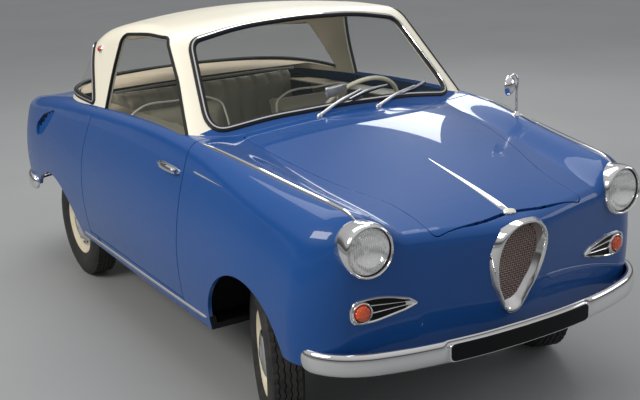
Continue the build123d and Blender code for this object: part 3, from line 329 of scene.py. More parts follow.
@dataclass
class Outline:
    """Closed outline with rounded corners, drawn in one plane."""

    corners: tuple[Point, ...]
    lie: Lie = Lie.SIDE
    spacing: float = 9.0

    def __post_init__(self) -> None:
        """Rounds the corners and spaces points along the outline."""
        c = np.array(self.corners, float)
        path: list[Array] = []
        for i in range(len(c)):
            here, before, after = c[i, :2], c[i - 1, :2], c[(i + 1) % len(c), :2]
            a, b = before - here, after - here
            la, lb = np.linalg.norm(a), np.linalg.norm(b)
            half = math.acos(np.clip(a @ b / (la * lb), -1, 1)) / 2
            cut = min(c[i, 2] / max(math.tan(half), 1e-6), 0.48 * la, 0.48 * lb)
            start, end = here + a / la * cut, here + b / lb * cut
            steps = max(2, int(cut * (math.pi / 2 - half) / self.spacing) + 5)
            for t in np.linspace(0, 1, steps):
                path.append((1 - t) ** 2 * start + 2 * t * (1 - t) * here + t**2 * end)
        loop = np.array(path + path[:1])
        run = np.concatenate([[0], np.cumsum(np.linalg.norm(np.diff(loop, axis=0), axis=1))])
        count = max(12, int(run[-1] / self.spacing))
        at = np.linspace(0, run[-1], count + 1)
        self.path = np.stack([np.interp(at, run, loop[:, 0]), np.interp(at, run, loop[:, 1])], 1)

    def flat(self, points: Array) -> Array:
        """Points as seen in the outline's plane, both halves of the car alike.

        Args:
            points: Places in millimetres.

        Returns:
            Two coordinates for each place.
        """
        x, y, z = np.abs(points[:, 0]), points[:, 1], points[:, 2]
        if self.lie is Lie.SIDE:
            return np.stack([y, z], 1)
        if self.lie is Lie.FRONT:
            return np.stack([x, z], 1)
        return np.stack([np.arctan2(x, ROUND_CENTRE_Y - y) * ROUND_SCALE, z], 1)

    def distance(self, points: Array) -> Array:
        """Signed distance of each point from the outline, negative inside.

        Args:
            points: Places in millimetres.

        Returns:
            One distance for each place.
        """
        q = self.flat(points)
        near = np.full(len(q), 1e9)
        inside = np.zeros(len(q), bool)
        for a, b in zip(self.path[:-1], self.path[1:]):
            way = b - a
            t = np.clip(((q - a) @ way) / max(way @ way, 1e-9), 0, 1)
            near = np.minimum(near, ((q - a - t[:, None] * way) ** 2).sum(1))
            if a[1] != b[1]:
                spans = (a[1] > q[:, 1]) != (b[1] > q[:, 1])
                inside ^= spans & (q[:, 0] < way[0] * (q[:, 1] - a[1]) / way[1] + a[0])
        return np.sqrt(near) * np.where(inside, -1.0, 1.0)

    def on_form(self, form: Form, side: int = 1) -> Array:
        """The outline laid on a form.

        Args:
            form: Form that carries the outline.
            side: 1 for the car's left, -1 for its right.

        Returns:
            Points of the outline on the form.
        """
        u, v = self.path[:, 0], self.path[:, 1]
        if self.lie is Lie.SIDE:
            return form.land(0, u, v, (side, 0, 0))
        if self.lie is Lie.FRONT:
            return form.land(side * u, 0, v, AHEAD)
        angle, zero = u / ROUND_SCALE, np.zeros(len(u))
        origin = np.stack([zero, zero + ROUND_CENTRE_Y, v], 1)
        return form.cast(origin, np.stack([side * np.sin(angle), -np.cos(angle), zero], 1))


@dataclass(frozen=True)
class Cut:
    """One trimming of a skin: what lies where the field is positive is cut away."""

    field: Field
    rounded: bool = True


Fan = Callable[[Array, Array], Rays]


@dataclass
class Skin:
    """Sheet of a form, trimmed by cuts, with rounded edges and an optional inner face."""

    name: str
    form: Form
    fan: Fan
    cells: tuple[int, int]
    cuts: Sequence[Cut] = ()
    edge: float = 2.5
    depth: float = 13.0
    closed: bool = False
    cell: float = 11.0

    def build(self) -> Piece:
        """Makes the sheet.

        Returns:
            The finished object, with exact normals.
        """
        bm = bmesh.new()
        bmesh.ops.create_grid(bm, x_segments=self.cells[0], y_segments=self.cells[1], size=0.5)
        uv = np.array([v.co[:2] for v in bm.verts]) + 0.5
        origin, way = self.fan(uv[:, 0], uv[:, 1])
        self._place(bm.verts, self.form.cast(origin, way / np.linalg.norm(way, axis=1, keepdims=True)))
        butt: list[Field] = []
        for cut in self.cuts:
            grow = self.edge if cut.rounded else 0.0
            self._trim(bm, lambda p, c=cut, g=grow: c.field(p) + g)
            if not cut.rounded:
                butt.append(cut.field)
        facing = bm.verts.layers.float_vector.new("facing")
        bm.verts.ensure_lookup_table()
        bm.normal_update()
        p = self._read(bm.verts)
        normals = self.form.normal(p)
        for v, n in zip(bm.verts, normals):
            v[facing] = Vector(n)
        if sum(f.normal.dot(f.verts[0][facing]) for f in bm.faces) < 0:
            bmesh.ops.reverse_faces(bm, faces=bm.faces[:])
        skin_faces = bm.faces[:]
        rim = self._rim_edges(bm, butt)
        inner = self._rim(bm, rim, facing) if rim else []
        if self.closed:
            self._line(bm, skin_faces, facing, inner)
        mesh = bpy.data.meshes.new(self.name)
        bm.to_mesh(mesh)
        layer = mesh.attributes["facing"]
        values = np.empty(len(mesh.vertices) * 3, np.float32)
        layer.data.foreach_get("vector", values)
        mesh.attributes.remove(layer)
        mesh.shade_smooth()
        mesh.normals_split_custom_set_from_vertices(values.reshape(-1, 3).tolist())
        bm.free()
        return Workshop.link(self.name, mesh)

    @staticmethod
    def _place(verts: Sequence[bmesh.types.BMVert], points: Array) -> None:
        """Moves vertices to points given in millimetres."""
        for v, p in zip(verts, points * MM):
            v.co = p

    @staticmethod
    def _read(verts: Sequence[bmesh.types.BMVert]) -> Array:
        """Places of vertices in millimetres."""
        return np.array([v.co[:] for v in verts], float).reshape(-1, 3) / MM

    def _trim(self, bm: bmesh.types.BMesh, outside: Field) -> None:
        """Cuts away what lies where a field is positive.

        Args:
            bm: Mesh of the sheet.
            outside: Field that is positive on what goes.
        """
        verts = bm.verts[:]
        if not verts:
            return
        p = self._read(verts)
        g = outside(p)
        near = np.abs(g) < 0.28 * self.cell
        if near.any():
            for _ in range(3):
                q = p[near]
                grad = np.stack([outside(q + s) - outside(q - s) for s in np.eye(3)], 1) / 2
                grad -= self.form.normal(q) * (grad * self.form.normal(q)).sum(1, keepdims=True)
                size = np.maximum((grad**2).sum(1), 0.04)
                p[near] = self.form.settle(q - grad * (outside(q) / size)[:, None])
            for i in np.nonzero(near)[0]:
                verts[i].co = p[i] * MM
            g[near] = 0.0
        sign = dict(zip(verts, np.sign(g).astype(int)))
        crossing = [e for e in bm.edges if sign[e.verts[0]] * sign[e.verts[1]] < 0]
        if crossing:
            a = self._read([e.verts[0] for e in crossing])
            b = self._read([e.verts[1] for e in crossing])
            low, high = np.zeros(len(a)), np.ones(len(a))
            start = np.sign(outside(a))
            for _ in range(10):
                mid = (low + high) / 2
                same = np.sign(outside(a + (b - a) * mid[:, None])) == start
                low, high = np.where(same, mid, low), np.where(same, high, mid)
            at = self.form.settle(a + (b - a) * ((low + high) / 2)[:, None])
            for e, point in zip(crossing, at):
                _, v = bmesh.utils.edge_split(e, e.verts[0], 0.5)
                v.co = point * MM
                sign[v] = 0
        bmesh.ops.connect_verts(bm, verts=[v for v in bm.verts if sign[v] == 0])
        gone = [
            f
            for f in bm.faces
            if max(sign[v] for v in f.verts) > 0
            or (max(sign[v] for v in f.verts) == min(sign[v] for v in f.verts) == 0
                and outside(np.array([f.calc_center_median()[:]]) / MM)[0] > 0)
        ]
        bmesh.ops.delete(bm, geom=gone, context="FACES")

    def _rim_edges(self, bm: bmesh.types.BMesh, butt: Sequence[Field]) -> list[bmesh.types.BMEdge]:
        """Boundary edges that aren't plain joints with a neighbouring sheet.

        Args:
            bm: Mesh of the sheet.
            butt: Fields that are 0 on a plain joint.

        Returns:
            The edges to round.
        """
        edges = [e for e in bm.edges if e.is_boundary]
        if not edges or not butt:
            return edges
        mid = np.array([((e.verts[0].co + e.verts[1].co) / 2)[:] for e in edges]) / MM
        keep = np.ones(len(edges), bool)
        for outside in butt:
            keep &= np.abs(outside(mid)) > 1.5
        return [e for e, k in zip(edges, keep) if k]

    def _rim(
        self, bm: bmesh.types.BMesh, rim: Sequence[bmesh.types.BMEdge], facing: bmesh.types.BMLayerItem
    ) -> list[bmesh.types.BMVert]:
        """Rounds the edges over and turns them inwards.

        Args:
            bm: Mesh of the sheet.
            rim: Edges to round.
            facing: Layer that keeps each vertex's normal.

        Returns:
            The vertices of the last ring.
        """
        away: dict[bmesh.types.BMVert, Vector] = {}
        for e in rim:
            centre = e.link_faces[0].calc_center_median()
            along = (e.verts[1].co - e.verts[0].co).normalized()
            for v in e.verts:
                out = along.cross(v[facing])
                if out.dot(v.co - centre) < 0:
                    out.negate()
                away[v] = away.get(v, Vector()) + out
        root = {v: (v.co.copy(), v[facing].copy(), t.normalized()) for v, t in away.items()}
        ring, edges = root, rim
        r = self.edge * MM
        stages = [(math.radians(a), 0.0, 1.0) for a in (30, 60, 90)]
        stages += [(math.pi / 2, self.depth * MM, 1.0), (math.pi / 2, self.depth * MM, 0.0)]
        for angle, drop, spread in stages:
            made = bmesh.ops.extrude_edge_only(bm, edges=edges)["geom"]
            fresh = {g for g in made if isinstance(g, bmesh.types.BMVert)}
            edges = [g for g in made if isinstance(g, bmesh.types.BMEdge) and set(g.verts) <= fresh]
            following = {}
            for v in fresh:
                old = next(e.other_vert(v) for e in v.link_edges if e.other_vert(v) in ring)
                base, n, t = ring[old]
                v.co = base + t * (r * math.sin(angle) * spread) - n * (r * (1 - math.cos(angle)) + drop)
                v[facing] = (n * math.cos(angle) + t * math.sin(angle)) * (1 if spread else -1)
                following[v] = ring[old]
            ring = following
        return list(ring)

    def _line(
        self, bm: bmesh.types.BMesh, faces: Sequence[bmesh.types.BMFace],
        facing: bmesh.types.BMLayerItem, inner: Sequence[bmesh.types.BMVert],
    ) -> None:
        """Adds the inner face, joined to the rounded edges.

        Args:
            bm: Mesh of the sheet.
            faces: Faces of the outer sheet.
            facing: Layer that keeps each vertex's normal.
            inner: Vertices of the rim's last ring.
        """
        made = bmesh.ops.duplicate(bm, geom=faces)["geom"]
        fresh = [g for g in made if isinstance(g, bmesh.types.BMVert)]
        for v in fresh:
            n = v[facing].copy()
            v.co -= n * (self.edge + self.depth) * MM
            v[facing] = -n
        bmesh.ops.reverse_faces(bm, faces=[g for g in made if isinstance(g, bmesh.types.BMFace)])
        bmesh.ops.remove_doubles(bm, verts=fresh + list(inner), dist=0.00002)


class Workshop:
    """Shared ways to make, link and mirror meshes."""

    @staticmethod
    def link(name: str, mesh: bpy.types.Mesh) -> Piece:
        """Makes an object of a mesh and puts it in the scene."""
        obj = bpy.data.objects.new(name, mesh)
        bpy.context.scene.collection.objects.link(obj)
        return obj

    @staticmethod
    def mirrored(obj: Piece, name: str, exact: bool = False) -> Piece:
        """Copy of an object on the other side of the car.

        Args:
            obj: Object on one side.
            name: Name of the copy.
            exact: Whether the object carries its own normals, which are mirrored too.

        Returns:
            The mirrored copy.
        """
        mesh = obj.data.copy()
        mesh.name = name
        normals = np.empty(len(mesh.loops) * 3, np.float32)
        mesh.corner_normals.foreach_get("vector", normals)
        vertex = np.empty(len(mesh.loops), np.int32)
        mesh.loops.foreach_get("vertex_index", vertex)
        per_vertex = np.zeros((len(mesh.vertices), 3), np.float32)
        per_vertex[vertex] = normals.reshape(-1, 3) * np.array([-1, 1, 1], np.float32)
        mesh.transform(Matrix.Scale(-1, 4, (1, 0, 0)))
        mesh.flip_normals()
        if exact:
            mesh.normals_split_custom_set_from_vertices(per_vertex.tolist())
        return Workshop.link(name, mesh)

    @staticmethod
    def both(name: str, left: Piece) -> Piece:
        """One object of a left piece and its mirror image."""
        return Workshop.joined(name, [left, Workshop.mirrored(left, left.name + "_other")])

    @staticmethod
    def finish(bm: bmesh.types.BMesh, name: str, crease: float = 35.0) -> Piece:
        """Turns a bmesh into an object, smooth except over sharp edges.

        Args:
            bm: The mesh, which is freed.
            name: Name of the object.
            crease: Angle above which an edge stays sharp, in degrees.

        Returns:
            The finished object.
        """
        bmesh.ops.remove_doubles(bm, verts=bm.verts[:], dist=0.00001)
        bmesh.ops.recalc_face_normals(bm, faces=bm.faces[:])
        limit = math.radians(crease)
        for f in bm.faces:
            f.smooth = True
        for e in bm.edges:
            e.smooth = not (len(e.link_faces) == 2 and e.calc_face_angle(0) > limit)
        mesh = bpy.data.meshes.new(name)
        bm.to_mesh(mesh)
        bm.free()
        return Workshop.link(name, mesh)

    @staticmethod
    def sweep(
        name: str,
        path: Array,
        up: Array,
        profile: Sequence[Pair],
        loop: bool = True,
        taper: Optional[Callable[[float], float]] = None,
    ) -> Piece:
        """Draws a closed profile along a path.

        Args:
            name: Name of the object.
            path: Places along the path in millimetres; a closed one ends where it starts.
            up: Direction that stands off the carrying surface at each place.
            profile: Points of the profile, across the path and off the surface.
            loop: Whether the path is closed.
            taper: Size of the profile from 0 to 1 along the path.

        Returns:
            The finished object.
        """
        if loop:
            path, up = path[:-1], up[:-1]
            tangent = np.roll(path, -1, 0) - np.roll(path, 1, 0)
            path, up, tangent = (np.concatenate([a, a[:1]]) for a in (path, up, tangent))
        else:
            tangent = np.gradient(path, axis=0)
        tangent /= np.linalg.norm(tangent, axis=1, keepdims=True)
        across = np.cross(tangent, up)
        across /= np.linalg.norm(across, axis=1, keepdims=True)
        lift = np.cross(across, tangent)
        ring = np.array(list(profile) + [profile[0]])
        size = np.array([taper(t) if taper else 1.0 for t in np.linspace(0, 1, len(path))])[:, None, None]
        sides = across[:, None] * ring[None, :, :1] + lift[:, None] * ring[None, :, 1:]
        return Workshop.weave(name, path[:, None] + sides * size, capped=not loop)

    @staticmethod
    def weave(name: str, rows: Array, crease: float = 40.0, capped: bool = False) -> Piece:
        """Sheet through rows of points, joined where it ends as it starts.

        Args:
            name: Name of the object.
            rows: Points in rows and columns, in millimetres.
            crease: Angle above which an edge stays sharp, in degrees.
            capped: Whether the open ends are filled.

        Returns:
            The finished object.
        """
        bm = bmesh.new()
        Workshop.weave_into(bm, rows)
        bmesh.ops.remove_doubles(bm, verts=bm.verts[:], dist=0.00001)
        if capped:
            bmesh.ops.holes_fill(bm, edges=[e for e in bm.edges if e.is_boundary], sides=0)
        return Workshop.finish(bm, name, crease)

    @staticmethod
    def weave_into(bm: bmesh.types.BMesh, rows: Array) -> None:
        """Adds a sheet through rows of points to a bmesh.

        Args:
            bm: Mesh that takes the sheet.
            rows: Points in rows and columns.
        """
        n, m = rows.shape[0] - 1, rows.shape[1] - 1
        grid = bmesh.ops.create_grid(bm, x_segments=n, y_segments=m, size=0.5)
        for v in grid["verts"]:
            v.co = rows[round((v.co.x + 0.5) * n), round((v.co.y + 0.5) * m)] * MM

    @staticmethod
    def curve(points: Sequence[Sequence[float]], count: int) -> Array:
        """Smooth path through a few points.

        Args:
            points: Places on the path.
            count: How many places to give.

        Returns:
            Evenly spaced places on the path.
        """
        p = np.array(points, float)
        run = np.concatenate([[0], np.cumsum(np.linalg.norm(np.diff(p, axis=0), axis=1))])
        at = np.linspace(0, run[-1], count)
        return np.stack([Track(run, p[:, k])(at) for k in range(p.shape[1])], 1)

    @staticmethod
    def tube(
        name: str, path: Array, radius: float, sides: int = 10, up: Sequence[float] = (0, 0, 1),
        taper: Optional[Callable[[float], float]] = None, flat: float = 1.0,
    ) -> Piece:
        """Round or oval bar along a path.

        Args:
            name: Name of the object.
            path: Places along the path in millimetres.
            radius: Radius across the path.
            sides: Number of sides.
            up: Rough direction of the second axis.
            taper: Size from 0 to 1 along the path.
            flat: Height over width.

        Returns:
            The finished object.
        """
        turn = [math.tau * i / sides for i in range(sides)]
        profile = [(radius * math.cos(a), radius * flat * math.sin(a)) for a in turn]
        return Workshop.sweep(name, path, np.tile(np.array(up, float), (len(path), 1)), profile, False, taper)

    @staticmethod
    def lathe(
        name: str,
        outline: Sequence[Pair],
        centre: Vector,
        axis: Vector,
        steps: int = 64,
        crease: float = 35.0,
    ) -> Piece:
        """Spins an outline round an axis.

        Args:
            name: Name of the object.
            outline: Points as distance along the axis and radius, in millimetres.
            centre: Where the axis starts, in metres.
            axis: Direction of the axis.
            steps: Number of steps round.
            crease: Angle above which an edge stays sharp, in degrees.

        Returns:
            The finished object.
        """
        bm = bmesh.new()
        axis = axis.normalized()
        side = axis.orthogonal().normalized()
        verts = [bm.verts.new(centre + axis * a * MM + side * max(r, 0.0) * MM) for a, r in outline]
        edges = [bm.edges.new(pair) for pair in zip(verts, verts[1:])]
        bmesh.ops.spin(
            bm, geom=verts + edges, cent=centre, axis=axis, dvec=(0, 0, 0),
            angle=math.tau, steps=steps, use_merge=True, use_duplicate=False,
        )
        return Workshop.finish(bm, name, crease)

    @staticmethod
    def block(name: str, shape: Matrix, edge: float, segments: int) -> Piece:
        """Unit cube brought to a shape, with rounded edges.

        Args:
            name: Name of the object.
            shape: Size and place in metres.
            edge: Width of the rounded edges in metres.
            segments: Steps of the rounding.

        Returns:
            The finished object.
        """
        bm = bmesh.new()
        bmesh.ops.create_cube(bm, size=1.0, matrix=shape)
        bmesh.ops.bevel(
            bm, geom=bm.edges[:], offset=edge, segments=segments, profile=0.5, affect="EDGES", material=-1
        )
        return Workshop.finish(bm, name)

    @staticmethod
    def joined(name: str, pieces: Sequence[Piece]) -> Piece:
        """One object made of several that touch or repeat.

        Args:
            name: Name of the object.
            pieces: Pieces to join, which are removed.

        Returns:
            The joined object.
        """
        bm = bmesh.new()
        for piece in pieces:
            bm.from_mesh(piece.data)
            bpy.data.objects.remove(piece)
        mesh = bpy.data.meshes.new(name)
        bm.to_mesh(mesh)
        bm.free()
        return Workshop.link(name, mesh)


class Value:
    """A number socket that takes part in sums."""

    def __init__(self, tree: bpy.types.NodeTree, socket: bpy.types.NodeSocket) -> None:
        """Keeps the socket and the tree it lies in."""
        self.tree = tree
        self.socket = socket

    def _math(self, kind: str, *others: "Value | float") -> "Value":
        """Adds a Math node on this value and others.

        Args:
            kind: Operation of the node.
            others: Its other inputs.

        Returns:
            The result.
        """
        node = self.tree.nodes.new("ShaderNodeMath")
        node.operation = kind
        for i, item in enumerate((self, *others)):
            if isinstance(item, Value):
                self.tree.links.new(item.socket, node.inputs[i])
            else:
                node.inputs[i].default_value = float(item)
        return Value(self.tree, node.outputs[0])

    def __add__(self, o: "Value | float") -> "Value":
        """Sum."""
        return self._math("ADD", o)

    __radd__ = __add__

    def __sub__(self, o: "Value | float") -> "Value":
        """Difference."""
        return self._math("SUBTRACT", o)

    def __mul__(self, o: "Value | float") -> "Value":
        """Product."""
        return self._math("MULTIPLY", o)

    def clip(self) -> "Value":
        """Held between 0 and 1."""
        return self._math("MINIMUM", 1.0)._math("MAXIMUM", 0.0)

    def wave(self) -> "Value":
        """Sine."""
        return self._math("SINE")


Colour = Point


class Graph:
    """Node tree that grows node by node."""

    def __init__(self, tree: bpy.types.NodeTree) -> None:
        """Keeps the tree."""
        self.tree = tree

    def feed(self, socket: bpy.types.NodeSocket, item: object) -> None:
        """Links a socket to a value or to another socket, or sets it.

        Args:
            socket: Input to feed.
            item: A value, socket, colour or number.
        """
        if isinstance(item, Value):
            item = item.socket
        if isinstance(item, bpy.types.NodeSocket):
            self.tree.links.new(item, socket)
        else:
            socket.default_value = (*item, 1.0) if isinstance(item, tuple) and len(item) == 3 else item

    def node(
        self, kind: str, settings: Optional[dict] = None, inputs: Optional[dict] = None
    ) -> bpy.types.Node:
        """Adds a node.

        Args:
            kind: Type of the node, without its ShaderNode prefix.
            settings: Properties of the node, or stops under "stops".
            inputs: Values or links of its sockets, by name or number.

        Returns:
            The node.
        """
        made = self.tree.nodes.new("ShaderNode" + kind)
        for key, value in (settings or {}).items():
            if key == "stops":
                ramp = made.color_ramp
                for i, (place, grey) in enumerate(value):
                    stop = ramp.elements[i] if i < 2 else ramp.elements.new(place)
                    stop.position, stop.color = place, (grey, grey, grey, 1.0)
            else:
                setattr(made, key, value)
        for key, value in (inputs or {}).items():
            self.feed(made.inputs[key], value)
        return made


class Recipe(Graph):
    """Node tree of one material."""

    def __init__(self, name: str) -> None:
        """Starts a material with a Principled shader."""
        self.material = bpy.data.materials.new(name)
        self.material.use_nodes = True
        super().__init__(self.material.node_tree)
        self.shader = self.tree.nodes["Principled BSDF"]

    def value(self, node: bpy.types.Node, output: str | int = 0) -> Value:
        """A node's output as a value."""
        return Value(self.tree, node.outputs[output])

    def place(self) -> bpy.types.NodeSocket:
        """Object coordinates."""
        return self.node("TexCoord").outputs["Object"]

    def axes(self) -> tuple[Value, Value, Value]:
        """Object coordinates as three values, in metres."""
        split = self.node("SeparateXYZ", inputs={0: self.place()})
        return tuple(self.value(split, i) for i in range(3))

    def noise(self, scale: float, detail: float = 3.0, rough: float = 0.5) -> Value:
        """Cloudy pattern from 0 to 1."""
        settings = {"Scale": scale, "Detail": detail, "Roughness": rough, "Vector": self.place()}
        return self.value(self.node("TexNoise", inputs=settings))

    def patches(self, scale: float, detail: float, low: float, gain: float, rough: float = 0.5) -> Value:
        """Where the noise passes a level, spread by a gain and held between 0 and 1."""
        return ((self.noise(scale, detail, rough) - low) * gain).clip()

    def mix(
        self, share: Value | float, a: Colour | bpy.types.NodeSocket, b: Colour | bpy.types.NodeSocket
    ) -> bpy.types.NodeSocket:
        """Mixes two colours and gives the socket of the result."""
        made = self.node("Mix", {"data_type": "RGBA"}, {0: share, 6: a, 7: b})
        return made.outputs[2]

    def bump(self, height: Value, depth: float, strength: float = 1.0) -> bpy.types.NodeSocket:
        """Normal from a height.

        Args:
            height: Height from 0 to 1.
            depth: What a height of 1 stands for, in metres.
            strength: Strength of the effect.

        Returns:
            The Normal output.
        """
        settings = {"Height": height, "Distance": depth, "Strength": strength}
        return self.node("Bump", inputs=settings).outputs["Normal"]

    def set(self, **sockets: object) -> "Recipe":
        """Sets or links sockets of the shader, with spaces written as underscores."""
        for key, value in sockets.items():
            self.feed(self.shader.inputs[key.replace("_", " ")], value)
        return self


@dataclass(frozen=True)
class Paint:
    """Glossy car paint under clear lacquer."""

    name: str
    colour: Colour
    deep: Colour
    slot: str
    gloss: float = 0.25
    coat: float = 0.7

    def make(self) -> bpy.types.Material:
        """Builds the material."""
        r = Recipe(self.name)
        peel = r.noise(260.0, 1.0)
        dust = r.noise(38.0, 6.0, 0.65)
        r.set(
            Base_Color=r.mix(r.patches(2.2, 4.0, 0.35, 1.6), self.deep, self.colour),
            Roughness=0.34 + dust * 0.16,
            IOR=1.5,
            Specular_IOR_Level=self.gloss,
            Coat_Weight=self.coat,
            Coat_IOR=1.42,
            Coat_Roughness=0.02,
            Normal=r.bump(peel, 0.00004, 0.2),
        )
        return r.material


@dataclass(frozen=True)
class Chrome:
    """Bright plated metal with faint smears."""

    name: str = "chrome_plate"
    slot: str = "chrome"
    tint: Colour = (0.83, 0.83, 0.84)
    rough: float = 0.03

    def make(self) -> bpy.types.Material:
        """Builds the material."""
        r = Recipe(self.name)
        smear = r.noise(30.0, 5.0, 0.6)
        pits = r.patches(420.0, 2.0, 0.70, 8.0)
        r.set(
            Base_Color=r.mix(pits, self.tint, tuple(0.6 * c for c in self.tint)),
            Metallic=1.0,
            Roughness=self.rough + smear * 0.05 + pits * 0.2,
        )
        return r.material


@dataclass(frozen=True)
class Plain:
    """Moulded rubber, plastic or trim with a fine grain."""

    name: str
    colour: Colour
    slot: str
    rough: float = 0.6
    grain: float = 500.0
    depth: float = 0.0002
    metal: float = 0.0
    worn: float = 1.35
    gloss: float = 0.4

    def make(self) -> bpy.types.Material:
        """Builds the material."""
        r = Recipe(self.name)
        fine = r.noise(self.grain, 3.0)
        cloud = r.noise(9.0, 4.0)
        pale = tuple(min(1.0, self.worn * c) for c in self.colour)
        r.set(
            Base_Color=r.mix(((cloud - 0.4) * 2.0).clip(), self.colour, pale),
            Roughness=self.rough - 0.08 + cloud * 0.16,
            Metallic=self.metal,
            Specular_IOR_Level=self.gloss,
            Normal=r.bump(fine, self.depth, 0.5),
        )
        return r.material


@dataclass(frozen=True)
class Glass:
    """Clear window glass, seen through and reflecting."""

    name: str = "window_glass"
    slot: str = "window_glass"

    def make(self) -> bpy.types.Material:
        """Builds the material."""
        r = Recipe(self.name)
        dust = r.patches(14.0, 5.0, 0.45, 1.5, 0.7)
        r.set(Base_Color=(0.10, 0.12, 0.11), Roughness=0.02 + dust * 0.04, IOR=1.5, Alpha=0.10 + dust * 0.05)
        r.set(Normal=r.bump(r.noise(1.5, 2.0), 0.0006, 0.3))
        return r.material


@dataclass(frozen=True)
class LampGlass:
    """Fluted lamp glass, clear or coloured, paler on the flute crests as a painted sheen."""

    name: str
    slot: str
    colour: Colour
    alpha: float
    pitch: float = 5.5
    depth: float = 0.0009

    def make(self) -> bpy.types.Material:
        """Builds the material."""
        r = Recipe(self.name)
        x, y, z = r.axes()
        flutes = (x * (math.tau / (self.pitch * MM))).wave() * 0.5 + 0.5
        steps = (z * (math.tau / (3.2 * self.pitch * MM))).wave() * 0.5 + 0.5
        height = flutes * 0.8 + steps * 0.4
        # flute crests mixed towards the paler colour: painted sheen on the flutes
        pale = tuple(min(1.0, c * 1.25 + 0.03) for c in self.colour)
        r.set(
            Base_Color=r.mix(height * 0.7, self.colour, pale),
            Roughness=0.09 + flutes * 0.06,
            IOR=1.5,
            Alpha=self.alpha + height * (1 - self.alpha) * 0.3,
            Coat_Weight=1.0,
            Coat_Roughness=0.03,
            Normal=r.bump(height, self.depth, 0.7),
        )
        return r.material


@dataclass(frozen=True)
class TyreRubber:
    """Tyre rubber, a little greyer in dusty patches."""

    name: str = "tyre_rubber"
    slot: str = "tyre_black"

    def make(self) -> bpy.types.Material:
        """Builds the material."""
        r = Recipe(self.name)
        dust = r.patches(26.0, 6.0, 0.38, 2.2, 0.7)
        fine = r.noise(600.0, 3.0)
        r.set(
            Base_Color=r.mix(dust, (0.020, 0.020, 0.021), (0.060, 0.056, 0.050)),
            Roughness=0.58 + dust * 0.24,
            Specular_IOR_Level=0.25,
            Normal=r.bump(fine, 0.0003, 0.6),
        )
        return r.material


@dataclass(frozen=True)
class Vinyl:
    """Grained seat covering."""

    name: str
    slot: str
    colour: Colour
    grain: float = 360.0

    def make(self) -> bpy.types.Material:
        """Builds the material."""
        r = Recipe(self.name)
        leather = {"Vector": r.place(), "Scale": self.grain}
        cells = r.value(r.node("TexVoronoi", {"feature": "DISTANCE_TO_EDGE"}, leather))
        wear = r.patches(5.0, 4.0, 0.4, 1.8)
        pale = tuple(c * 1.4 for c in self.colour)
        r.set(
            Base_Color=r.mix(wear, self.colour, pale),
            Roughness=0.42 + wear * 0.14,
            Normal=r.bump((cells * 6.0).clip(), 0.0005, 0.5),
        )
        return r.material


class Finishes:
    """Materials of the car, each made when first asked for."""

    made: dict[str, bpy.types.Material] = {}

    @classmethod
    def dress(cls, obj: Piece, kind: object) -> Piece:
        """Gives an object one finish.

        Args:
            obj: The piece.
            kind: Its finish.

        Returns:
            The piece.
        """
        if kind.name not in cls.made:
            cls.made[kind.name] = kind.make()
        obj.data.materials.clear()
        obj.data.materials.append(cls.made[kind.name])
        return obj


BLUE = Paint("body_blue_lacquer", (0.009, 0.072, 0.270), (0.007, 0.062, 0.240), "body_blue", 0.12, 0.75)
CREAM = Paint("roof_cream_lacquer", (0.88, 0.82, 0.68), (0.85, 0.79, 0.64), "roof_cream", 0.4, 0.5)
CHROME = Chrome()
BOWL = Chrome("lamp_reflector", tint=(0.93, 0.93, 0.92), rough=0.16)
RUBBER = Plain("seal_rubber", (0.009, 0.009, 0.010), "plate_black", 0.5, gloss=0.25)
CLEAR = Glass()
CHASSIS = Plain("chassis_black", (0.012, 0.012, 0.013), "running_gear", 0.7, 180.0, 0.0004, gloss=0.15)
BEIGE = Plain("cabin_beige", (0.46, 0.38, 0.26), "trim_beige", 0.72, 700.0)
VINYL = Vinyl("seat_vinyl_grey", "seat_vinyl", (0.25, 0.235, 0.18))
PIPING = Plain("seat_piping", (0.55, 0.53, 0.46), "trim_beige", 0.5)
IVORY = Plain("ivory_plastic", (0.70, 0.66, 0.52), "wheel_ivory", 0.32, 300.0, 0.0001)
HEADLAMP_GLASS = LampGlass("headlamp_glass", "lamp_glass", (0.84, 0.84, 0.82), 0.10, 6.5, 0.0006)
AMBER = LampGlass("amber_glass", "amber_lens", (0.60, 0.062, 0.002), 0.97, 4.2, 0.0016)
RED = LampGlass("red_glass", "red_lens", (0.50, 0.012, 0.010), 0.97, 3.6, 0.0012)
PLATE = Plain("plate_black_enamel", (0.006, 0.006, 0.007), "plate_black", 0.42, 240.0, 0.0001, gloss=0.12)
WIRE = Plain("grille_wire_metal", (0.34, 0.27, 0.25), "grille_wire", 0.40, 300.0, 0.0002, 0.8)
# painted shade: dark reddish colour of the sheet that stands for the hollow behind the grille mesh
SHADOW = Plain("grille_painted_shade", (0.085, 0.020, 0.016), "plate_black", 0.75, 100.0, 0.0008, gloss=0.1)
TYRE = TyreRubber()
RIM = Plain("rim_cream_paint", (0.62, 0.55, 0.40), "rim_cream", 0.34, 260.0, 0.0001)
ENGINE = Plain("engine_casting", (0.20, 0.20, 0.21), "engine_grey", 0.55, 150.0, 0.0006, 0.6)
STEEL = Plain("satin_steel", (0.52, 0.52, 0.53), "chrome", 0.30, 300.0, 0.0001, 1.0)


def place_piece(obj: Piece, finish: object, body: str = "body",
                over: Sequence[str] = ()) -> Piece:
    """Dresses a piece, fixes it to a body of the frame and lets it stand for solids.

    Args:
        obj: The piece.
        finish: Its finish.
        body: Body of the frame that carries it.
        over: Solids that it stands for.

    Returns:
        The piece.
    """
    Finishes.dress(obj, finish)
    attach(obj, body)
    if over:
        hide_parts(*over)
    LOG.info("%s: %d faces", obj.name, len(obj.data.polygons))
    return obj


